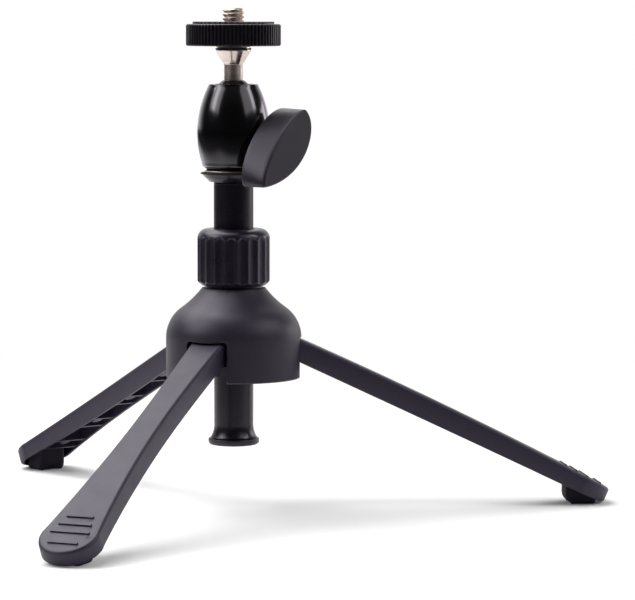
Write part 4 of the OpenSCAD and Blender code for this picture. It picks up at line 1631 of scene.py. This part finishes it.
@dataclass
class Column:
    """The sliding tube with its flared foot, end cap and tapered top cap."""

    diameter: float = 11.7
    wall: float = 1.4
    flare: float = 13.7
    flare_height: float = 3.8
    bevel: float = 0.12
    cap_low: float = 14.2
    cap_high: float = 16.9
    groove: float = 0.25
    groove_low: float = 0.35
    groove_top: float = 0.6
    fit: float = 0.02
    foot_seam: float = 0.25
    dish: float = 3.2

    def build(self) -> None:
        """Makes the tube and both caps."""
        self.tube()
        self.end_cap()
        self.top_cap()

    def tube(self) -> None:
        """The tube, whose foot flares out."""
        base, top = low("column_tube").z, high("column_tube").z
        radius, wide, bore = self.diameter / 2, self.flare / 2, self.diameter / 2 - self.wall
        flare = (self.flare - self.diameter) / 2
        bend = (flare ** 2 + self.flare_height ** 2) / (2 * flare)
        sweep = math.degrees(math.asin(self.flare_height / bend))
        outside = arc((radius + bend, base + self.flare_height), bend, 180 + sweep, 180, 10)
        shell = Shell()
        shell.lathe([(bore, base), (wide - self.bevel, base), (wide, base + self.bevel),
                     *outside[1:], (radius, top), (bore, top)])
        place_piece(shell.build("column_tube_satin"), "column", Coat.COLUMN, "column_tube")

    def top_cap(self) -> None:
        """The cap in the tube's top: a plug, a groove and a cone up to the flange."""
        top, flange, plug = high("column_tube").z, high("column_top_cap").z, low("column_top_cap").z
        radius, inner = self.diameter / 2, self.diameter / 2 - self.wall - self.fit
        outer, waist, shelf = radius + self.fit, radius - self.groove, top + self.groove_top
        cap = turned("tapered_cap", [
            (0, plug, 0), (inner, plug, 0.3), (inner, top, 0), (outer, top, 0.1),
            (outer, top + 0.3, 0), (waist, top + self.groove_low, 0), (waist, shelf, 0),
            (self.cap_low / 2, shelf, 0.2), (self.cap_high / 2, flange, 0.05), (0, flange, 0)])
        place_piece(cap, "column", Coat.FLANGE, "column_top_cap")

    def end_cap(self) -> None:
        """The round-edged cap in the column's foot."""
        base, seam = low("column_end_cap").z, low("column_tube").z
        top, radius, neck = seam - self.foot_seam, high("column_end_cap").x, self.flare / 2 - 0.6
        plug, end = self.diameter / 2 - self.wall - self.fit, high("column_end_cap").z
        cap = turned("column_foot_cap", [
            (0, base + 0.25, 0), (radius - self.dish, base + 0.25, 0.3),
            (radius - self.dish + 0.5, base, 0.3), (radius, base, 1.0), (radius, top, 0.3),
            (neck, top, 0), (neck, seam, 0), (plug, seam, 0), (plug, end, 0.4), (0, end, 0)])
        place_piece(cap, "column", Coat.CAP, "column_end_cap")


@dataclass
class Head:
    """The flange, friction washer and barrel-shaped ball housing."""

    flange: float = 19.5
    plate_low: float = 1.1
    plate_high: float = 0.6
    plate_drop: float = 0.4
    crown: float = 0.25
    soft: float = 0.05
    washer: float = 16.6
    ring_width: float = 0.9
    ring_sink: float = 0.05
    ring_rise: float = 0.35
    diameter: float = 21.4
    belly: float = 10.8
    bow: float = 30.5
    rounding: float = 1.5
    rim_round: float = 0.45
    chamber: float = 14.0
    ball_rise: float = 20.9
    socket: float = 6.1
    mouth: float = 10.4
    funnel: float = 0.8
    screw: float = 5.1
    screw_from: float = 5.5
    screw_to: float = 14.0
    stud: float = 3.195

    def build(self, knob: Matrix) -> None:
        """Makes the outer pieces and dresses the inner ones.

        Args:
            knob: Where the clamp screw's axis lies, in millimetres.
        """
        self.foot()
        self.housing(knob)
        dress(Coat.BRASS, "housing_plug", "clamp_wedge", "ball_seat", "thrust_tip")
        dress(Coat.STEEL, "head_stud")

    def foot(self) -> None:
        """The plate on the column, its dull rim, and the washer with a bright ring round it."""
        base, top, stud = low("head_flange").z, high("head_flange").z, self.stud
        radius, neck, crown = self.flange / 2, self.washer / 2, top + self.crown
        wide, drop, seat = radius - self.plate_high, top - self.plate_drop, top - 0.2
        soft, inner = self.soft, neck - self.ring_width / 3
        plate = turned("head_plate", [
            (stud, base, 0), (radius - self.plate_low, base, soft), (wide, drop, soft),
            (wide, seat, 0), (stud, seat, 0)], loop=True)
        place_piece(plate, "column", Coat.FLANGE, "head_flange")
        rim = turned("head_plate_rim", [
            (stud, drop, 0), (radius - 0.15, drop, 2 * soft), (radius, top - 0.15, soft),
            (radius, top, soft), (neck + 0.4, crown, soft), (stud, crown, 0)], loop=True)
        place_piece(rim, "column", Coat.WASHER)
        base, top = crown - 0.1, high("pan_washer").z
        washer = turned("friction_washer", [
            (stud, base, 0), (inner, base, soft), (inner, top, soft),
            (stud, top, 0)], 96, loop=True)
        place_piece(washer, "column", Coat.WASHER, "pan_washer")
        base, top = crown - self.ring_sink, crown + self.ring_rise
        inner, outer = neck - self.ring_width * 2 / 3, neck + self.ring_width / 3
        ring = turned("washer_ring", [
            (inner, base, 0), (outer, base, soft), (outer, top, 3 * soft), (inner, top, 0)],
            loop=True)
        place_piece(ring, "column", Coat.STEM)

    def housing(self, knob: Matrix) -> None:
        """The barrel, its mouth round the ball, and the clamp screw's hole.

        Args:
            knob: Where the clamp screw's axis lies, in millimetres.
        """
        base, top = low("ball_housing").z, high("ball_housing").z

        def outside(z: float) -> float:
            """Radius of the barrel at a height."""
            off = z - base - self.belly
            return self.diameter / 2 - self.bow + math.sqrt(self.bow ** 2 - off ** 2)

        ball, mouth, soft = base + self.ball_rise, self.mouth / 2, self.rim_round
        first, steps = base + self.rounding, 40
        heights = [first + (top - soft - first) * i / steps for i in range(steps + 1)]
        rim, foot = outside(heights[-1]), outside(heights[0])
        profile = arc((foot - self.rounding, heights[0]), self.rounding, -90, 0, 8)[:-1]
        profile += [(outside(z), z) for z in heights]
        profile += arc((rim - soft, top - soft), soft, 15, 90, 5)
        catch = math.sqrt(self.socket ** 2 - mouth ** 2)
        profile += rounded([(mouth + 1.5 * self.funnel, top, 0), (mouth + self.funnel, top, 0.15),
                            (mouth, top - self.funnel, 0.15), (mouth, ball + catch, 0)])
        lip = math.degrees(math.asin(catch / self.socket))
        profile += arc((0, ball), self.socket, lip, 0, 6)[1:]
        profile += [(self.chamber / 2, ball), (self.chamber / 2, base)]
        shell, drill, bore = Shell(), Shell(), self.screw / 2
        shell.lathe(profile, 160)
        drill.lathe([(0, self.screw_from), (bore, self.screw_from), (bore, self.screw_to),
                     (0, self.screw_to)], 40)
        piece = cut_out(shell.build("head_barrel"), drill.build("drill", knob))
        place_piece(piece, "column", Coat.HOUSING, "ball_housing")


@dataclass
class ClampKnob:
    """The leaf-shaped knob, its boss and its screw.

    In its own frame Z is the screw's axis, pointing out of the housing.
    """

    azimuth: float = -50.0
    back: float = 12.0
    thick: float = 8.7
    length: float = 28.4
    bulge: float = 7.9
    flat_face: float = 3.6
    flat_back: float = 6.2
    skew: float = 2.6
    tilt: float = 51.0
    shift: float = 1.1
    soft: float = 0.6
    bevel: float = 0.45
    boss: float = 4.2

    def axis(self) -> Matrix:
        """Where the screw's axis lies, in millimetres."""
        height = middle("clamp_screw").z
        return (Matrix.Translation((0, 0, height))
                @ Matrix.Rotation(math.radians(self.azimuth), 4, "Z")
                @ Matrix.Rotation(math.radians(90), 4, "Y"))

    def leaf(self, flat: float, inset: float) -> list[Point]:
        """The leaf's outline, set in by a margin.

        Args:
            flat: Bulge of its flat side.
            inset: Margin.

        Returns:
            Its points, round the leaf.
        """
        half, steps, slim, blunt = self.length / 2, 22, 0.92, 1.1
        full, rest = half + self.skew, half - self.skew
        line = []
        for i in range(steps + 1):
            x = 1 - i / steps
            line.append((-half + full * i / steps, self.bulge * (1 - x * x) ** slim))
        line += [(self.skew + rest * x, self.bulge * y)
                 for x, y in arc((0, 0), 1, 90, 0, steps)[1:]]
        for i in range(1, steps):
            t = math.pi * i / steps
            line.append((half * math.cos(t), -flat * math.sin(t) ** blunt))
        moved = []
        for i, (x, y) in enumerate(line):
            before, after = Vector(line[i - 1]), Vector(line[(i + 1) % len(line)])
            along = (after - before).normalized()
            moved.append((x + along.y * inset, y - along.x * inset))
        return moved

    def build(self) -> None:
        """Makes the knob and dresses its screw."""
        place = self.axis() @ Matrix.Rotation(math.radians(90 + self.tilt), 4, "Z")
        shell = Shell()
        soft, bevel, thick = self.soft, self.bevel, self.thick
        levels = [(soft * (1 - math.sin(a)), soft * (1 - math.cos(a))) for a in quarter(5)]
        levels += [(0.0, thick * k / 6) for k in range(1, 6)]
        levels += [(0.0, thick - bevel), (0.08, thick - bevel * 0.6), (bevel * 0.55, thick - 0.07),
                   (bevel, thick), (bevel + 0.05, thick)]
        rows = []
        for inset, z in levels:
            flat = self.flat_back + (self.flat_face - self.flat_back) * z / thick
            rows.append(shell.ring((x + self.shift, -y, self.back + z)
                                   for x, y in self.leaf(flat, inset)))
        shell.skin(rows)
        start, end = self.back - 1, self.back + 1
        shell.lathe(rounded([(0, start, 0), (self.boss, start, 0.25), (self.boss, end, 0),
                             (0, end, 0)]), 64)
        place_piece(shell.build("leaf_knob", place), "knob", Coat.KNOB, "clamp_knob")
        dress(Coat.STEEL, "clamp_screw")


# ---- Camera screw ----

@dataclass
class CameraScrew:
    """The ball, the stem with its cone and thread, and the knurled lock disc."""

    ball: float = 6.0
    socket: float = 2.05
    neck: float = 5.5
    neck_height: float = 4.4
    score: float = 0.06
    cone: float = 10.4
    stud: float = 3.175
    pitch: float = 1.27
    thread: float = 0.62
    chamfer: float = 0.7
    fit: float = 0.05
    washer: float = 0.42
    washer_step: float = 0.25
    disc: float = 28.0
    disc_round: float = 0.6
    teeth: int = 76
    tooth: float = 0.38
    pad: float = 24.1
    pad_bore: float = 9.0
    ribs: int = 44
    rib: float = 0.3

    def build(self) -> None:
        """Makes each piece from the ball up."""
        self.ball_piece()
        self.stem()
        self.stop()
        self.lock_disc()
        self.pad_ring()

    def ball_piece(self) -> None:
        """The ball, with its flat and the hole for the stem."""
        centre, flat = low("ball").z + self.ball, high("ball").z
        foot = low("ball_stem").z - 0.1
        edge = math.degrees(math.asin((flat - centre) / self.ball))
        profile = arc((0, centre), self.ball, -90, edge, 40)
        shell = Shell()
        shell.lathe([(0, profile[0][1]), *profile[1:], (self.socket, flat), (self.socket, foot),
                     (0, foot)], 96)
        place_piece(shell.build("pivot_ball"), "ball", Coat.BALL, "ball")

    def stem(self) -> None:
        """Neck with two fine grooves, cone and threaded stud in one turned piece."""
        base, top, washer = low("ball_stem").z, high("ball_stem").z, low("stem_washer").z
        start, end = high("ball").z, washer - self.neck_height
        r, neck, cone, root = self.stud, self.neck / 2, self.cone / 2, 2.0

        def groove(lower: float, upper: float) -> list[Corner]:
            """Corners of a groove between two heights of the neck.

            Args:
                lower: Where it begins.
                upper: Where it ends.

            Returns:
                Its corners, from the lower one up.
            """
            inner, slant = neck - self.score, 0.05
            return [(neck, lower, 0), (inner, lower + slant, 0), (inner, upper - slant, 0),
                    (neck, upper, 0)]

        lower = rounded([(0, base, 0), (root, base, 0.2), (root, start, 0), (neck, start, 0.15),
                         *groove(start + 1.6, start + 1.85), *groove(end - 0.7, end - 0.4),
                         (neck, end, 0.3), (cone - 0.12, washer - 0.42, 0.2),
                         (cone, washer - 0.3, 0.1), (cone, washer, 0.08), (r, washer, 0)])
        thread = divided([(r, washer), (r, top - self.chamfer), (r - self.chamfer, top)], 0.12)
        shell = Shell()
        shell.lathe([*lower, *thread[1:], (0, top)], 96)
        piece = RELIEF.run(shell.build("stem_and_stud"), Coat.STEM, Count=1,
                           Lead=1 / (self.pitch * MM), Land=0.16, Power=1.15,
                           Depth=self.thread * MM, Rim=r * MM, Low=(washer + 0.3) * MM,
                           High=(top + 1) * MM, Arch=0, Fade=0.4 * MM)
        place_piece(piece, "stem", Coat.STEM, "ball_stem")

    def stop(self) -> None:
        """The dark washer on the cone and the bright boss over it."""
        base, top, edge = low("stem_washer").z, high("stem_washer").z, high("stem_washer").x
        bore, seam, inner = self.stud + self.fit, base + self.washer, edge - self.washer_step
        washer = turned("stop_washer", [(bore, base, 0), (edge, base, 0.1), (edge, seam, 0.1),
                                        (bore, seam, 0)], 96, loop=True)
        place_piece(washer, "washer", Coat.WASHER, "stem_washer")
        boss = turned("washer_boss", [(bore, seam, 0), (inner, seam, 0), (inner, top, 0.1),
                                      (bore, top, 0)], 96, loop=True)
        place_piece(boss, "washer", Coat.STEM)

    def lock_disc(self) -> None:
        """The disc, with teeth round its edge."""
        base, top, radius = low("lock_disc").z + 0.02, high("lock_disc").z, self.disc / 2
        bore, soft, flat, bevel = self.stud + self.fit, self.disc_round, radius - 2, 0.3
        edge = divided(rounded([(flat, base, 0), (radius, base, soft), (radius, top, soft),
                                (flat, top, 0)], steps=6), 0.45)
        shell = Shell()
        shell.lathe([(bore, base + bevel), (bore + bevel, base), *edge, (bore + bevel, top),
                     (bore, top - bevel)], self.teeth * 6)
        piece = RELIEF.run(shell.build("knurled_disc"), Coat.DISC, Count=self.teeth, Lead=0,
                           Land=0.3, Power=1, Depth=self.tooth * MM, Rim=radius * MM,
                           Low=(base + 0.1) * MM, High=(top - 0.1) * MM, Arch=0, Fade=0.35 * MM)
        place_piece(piece, "disc", Coat.DISC, "lock_disc")

    def pad_ring(self) -> None:
        """The pad under the camera: a thin ring with radial ribs."""
        base, top = low("disc_pad").z, high("disc_pad").z
        radius, bore, face, foot = self.pad / 2, self.pad_bore / 2, top - self.rib, base + 0.2
        ring = turned("pad_base", [(bore, base, 0), (radius, base, 0), (radius, face, 0.12),
                                   (bore, face, 0.12)], loop=True)
        sides = rounded([(-0.42, foot, 0), (-0.34, top, 0.16), (0.34, top, 0.16), (0.42, foot, 0)])
        cuts = ((bore + 0.5, 0.7, 0.12), (bore + 0.7, 0.9, 0.03), (bore + 1.1, 1, 0),
                (radius - 0.45, 1, 0), (radius - 0.15, 0.95, 0.04), (radius, 0.75, 0.16))
        bar = Shell()
        bar.skin([bar.ring((x, y * shrink, foot + (z - foot) * (1 - sink)) for y, z in sides)
                  for x, shrink, sink in cuts])
        bars = CIRCLE.run(bar.build("pad_bar"), Coat.DISC, Count=self.ribs, Start=0)
        piece = joined("ribbed_pad", [ring, bars], Matrix())
        for part in (ring, bars):
            bpy.data.objects.remove(part)
        place_piece(piece, "disc", Coat.DISC, "disc_pad")


# ---- Studio ----

@dataclass(frozen=True)
class Lamp:
    """A soft box that faces the tripod.

    It stands aside of the camera's direction, to the right, and at an angle over the floor, both
    in degrees as seen from the tripod. Its distance and its size are in metres, its power in watts.
    """

    name: str
    aside: float
    lift: float
    away: float
    size: Point
    power: float
    aim: float = 0.08

    def place(self, ahead: Vector, right: Vector) -> None:
        """Sets the lamp up.

        Args:
            ahead: Level direction away from the camera.
            right: Level direction to the camera's right.
        """
        turn, rise = math.radians(self.aside), math.radians(self.lift)
        level = -ahead * math.cos(turn) + right * math.sin(turn)
        direction = level * math.cos(rise) + Vector((0, 0, math.sin(rise)))
        data = bpy.data.lights.new(self.name, "AREA")
        data.shape, data.energy = "RECTANGLE", self.power
        data.size, data.size_y = self.size
        lamp = bpy.data.objects.new(self.name, data)
        lamp.location = direction * self.away + Vector((0, 0, self.aim))
        lamp.rotation_euler = direction.to_track_quat("Z", "Y").to_euler()
        bpy.context.scene.collection.objects.link(lamp)


LAMPS = (
    Lamp("back_top", -165, 50, 0.95, (0.9, 0.5), 3.4),
    Lamp("top", -85, 80, 0.9, (0.6, 0.5), 3.0),
    Lamp("left_key", -112, 54, 0.85, (0.45, 0.62), 3.8),
    Lamp("left_side", -74, 36, 0.8, (0.55, 0.44), 1.9),
    Lamp("left_core", -76, 34, 0.78, (0.2, 0.36), 1.0),
    Lamp("right_side", 62, 36, 0.8, (0.6, 0.44), 1.4),
    Lamp("right_core", 80, 34, 0.78, (0.16, 0.36), 0.85),
    Lamp("right_rim", 118, 8, 0.9, (0.45, 0.25), 1.05),
)


@dataclass
class Studio:
    """Floor, light and camera round the tripod. Angles are in degrees, distances in metres."""

    azimuth: float = -5.5533
    distance: float = 0.939664
    height: float = 0.145685
    pitch: float = 5.0679
    yaw: float = 1.5163
    roll: float = 0.0714
    sensor: float = 36.0
    lens: float = 180.18
    floor_half: float = 6.0
    floor_tone: float = 0.82
    # floor_dark, dark_front, dark_left and slant paint shade on the floor for rays other than the
    # camera's.
    floor_dark: float = 0.05
    # floor_lift brightens the floor evenly for the camera; near_lift, over the distances in near,
    # adds painted light just in front of the tripod.
    floor_lift: float = 0.05
    near_lift: float = 0.1
    near: Point = (0.02, 0.13)
    white_from: Point = (0.16, 0.42)
    dark_front: Point = (0.13, 0.26)
    dark_left: Point = (0.15, 0.4)
    slant: float = 0.4
    back: Point = (0.35, 0.88)
    zenith: Point = (0.35, 1.0)
    dim: float = 0.03
    back_light: float = 0.92
    zenith_light: float = 0.12

    def view(self) -> tuple[Vector, Vector]:
        """Level directions away from the camera and to its right.

        Returns:
            Both directions, in that order.
        """
        a = math.radians(self.azimuth)
        return Vector((-math.sin(a), math.cos(a), 0)), Vector((math.cos(a), math.sin(a), 0))

    def camera(self) -> None:
        """Sets the camera."""
        def turn(a: Vector, b: Vector, angle: float) -> tuple[Vector, Vector]:
            """Turns two directions at right angles, the first one towards the second.

            Args:
                a: The first direction.
                b: The second direction.
                angle: In degrees.

            Returns:
                Both directions, turned.
            """
            c, s = math.cos(math.radians(angle)), math.sin(math.radians(angle))
            return a * c + b * s, b * c - a * s

        ahead, right = self.view()
        up = Vector((0, 0, 1))
        start = -ahead * self.distance + up * self.height
        ahead, right = turn(ahead, right, self.yaw)
        up, ahead = turn(up, ahead, self.pitch)
        right, up = turn(right, up, self.roll)
        data = bpy.data.cameras.new("camera")
        data.sensor_width, data.lens = self.sensor, self.lens
        data.clip_start, data.clip_end = 0.05, 50.0
        camera = bpy.data.objects.new("camera", data)
        camera.matrix_world = Matrix((right, up, -ahead)).transposed().to_4x4()
        camera.location = start
        bpy.context.scene.collection.objects.link(camera)
        bpy.context.scene.camera = camera

    def floor(self) -> None:
        """A pale floor that keeps the tripod's shadow and is plain white further out.

        For rays other than the camera's it is dark in front of the tripod and to its left, which is
        painted shade; for the camera it glows a little, evenly, and more just in front of the
        tripod, which is painted light.
        """
        mesh, half = bpy.data.meshes.new("floor"), self.floor_half
        corners = ((-half, -half, 0), (half, -half, 0), (half, half, 0), (-half, half, 0))
        mesh.from_pydata(corners, [], [(0, 1, 2, 3)])
        floor = bpy.data.objects.new("floor", mesh)
        bpy.context.scene.collection.objects.link(floor)
        material = bpy.data.materials.new("floor")
        material.use_nodes = True
        board = Board(material.node_tree)
        seen = board.wire("ShaderNodeLightPath", output="Is Camera Ray")
        x, y, _ = board.parts(board.wire("ShaderNodeTexCoord", output="Object"))
        ahead, right = self.view()
        beyond = board.length(x, y).fade(*self.white_from)
        before = x * -ahead.x - y * ahead.y
        left = x * -right.x - y * right.y
        # Painted shade: for rays other than the camera's the floor darkens in front of the tripod
        # and to its left.
        unlit = board.math("MAXIMUM", before.fade(*self.dark_front),
                           (left + before * self.slant).fade(*self.dark_left))
        pale = board.blend(unlit * (1 - seen), (self.floor_tone,) * 3, (self.floor_dark,) * 3)
        matte = board.wire("ShaderNodeBsdfDiffuse", None, {"Color": pale})
        # Painted light: for the camera the floor glows evenly, and more in front of the tripod.
        glow = seen * (before.fade(*self.near) * self.near_lift + self.floor_lift)
        lift = board.wire("ShaderNodeEmission", None, {"Color": WHITE, "Strength": glow})
        lit = board.wire("ShaderNodeAddShader", None, {0: matte, 1: lift})
        white = board.wire("ShaderNodeEmission", None, {"Color": WHITE, "Strength": 1.0})
        mixed = board.wire("ShaderNodeMixShader", None, {0: beyond * seen, 1: lit, 2: white})
        board.node("ShaderNodeOutputMaterial", None, {"Surface": mixed})
        mesh.materials.append(material)

    def sky(self) -> None:
        """A surround that is white for the camera, and otherwise dim but for the back and top."""
        world = bpy.data.worlds.new("surround")
        bpy.context.scene.world = world
        world.use_nodes = True
        board = Board(world.node_tree)
        ahead, _ = self.view()
        x, y, z = board.parts(board.wire("ShaderNodeTexCoord", output="Object"))
        behind = (x * ahead.x + y * ahead.y).fade(*self.back)
        top = z.fade(*self.zenith)
        level = self.dim + behind * self.back_light + top * self.zenith_light
        paths = board.node("ShaderNodeLightPath")
        seen, glossy, through = (Wire(board, paths.outputs[f"Is {kind} Ray"])
                                 for kind in ("Camera", "Glossy", "Transmission"))
        strength = board.math("MAXIMUM", level, seen + (glossy + through) * behind)
        back = board.wire("ShaderNodeBackground", None, {"Color": WHITE, "Strength": strength})
        board.node("ShaderNodeOutputWorld", None, {"Surface": back})

    def build(self) -> None:
        """Sets floor, surround, lamps and camera."""
        self.floor()
        self.sky()
        for lamp in LAMPS:
            lamp.place(*self.view())
        self.camera()


def main() -> None:
    """Builds the studio and the tripod, from the feet up."""
    logging.basicConfig(level=logging.INFO, format="%(name)s %(message)s")
    scene = bpy.context.scene
    scene.view_settings.view_transform = "Standard"
    Studio().build()
    leg = Leg()
    leg.build()
    FootPad().build(leg)
    Hub().build(leg)
    TwistLock().build()
    Column().build()
    knob = ClampKnob()
    Head().build(knob.axis())
    knob.build()
    CameraScrew().build()


if __name__ == "__main__":
    main()
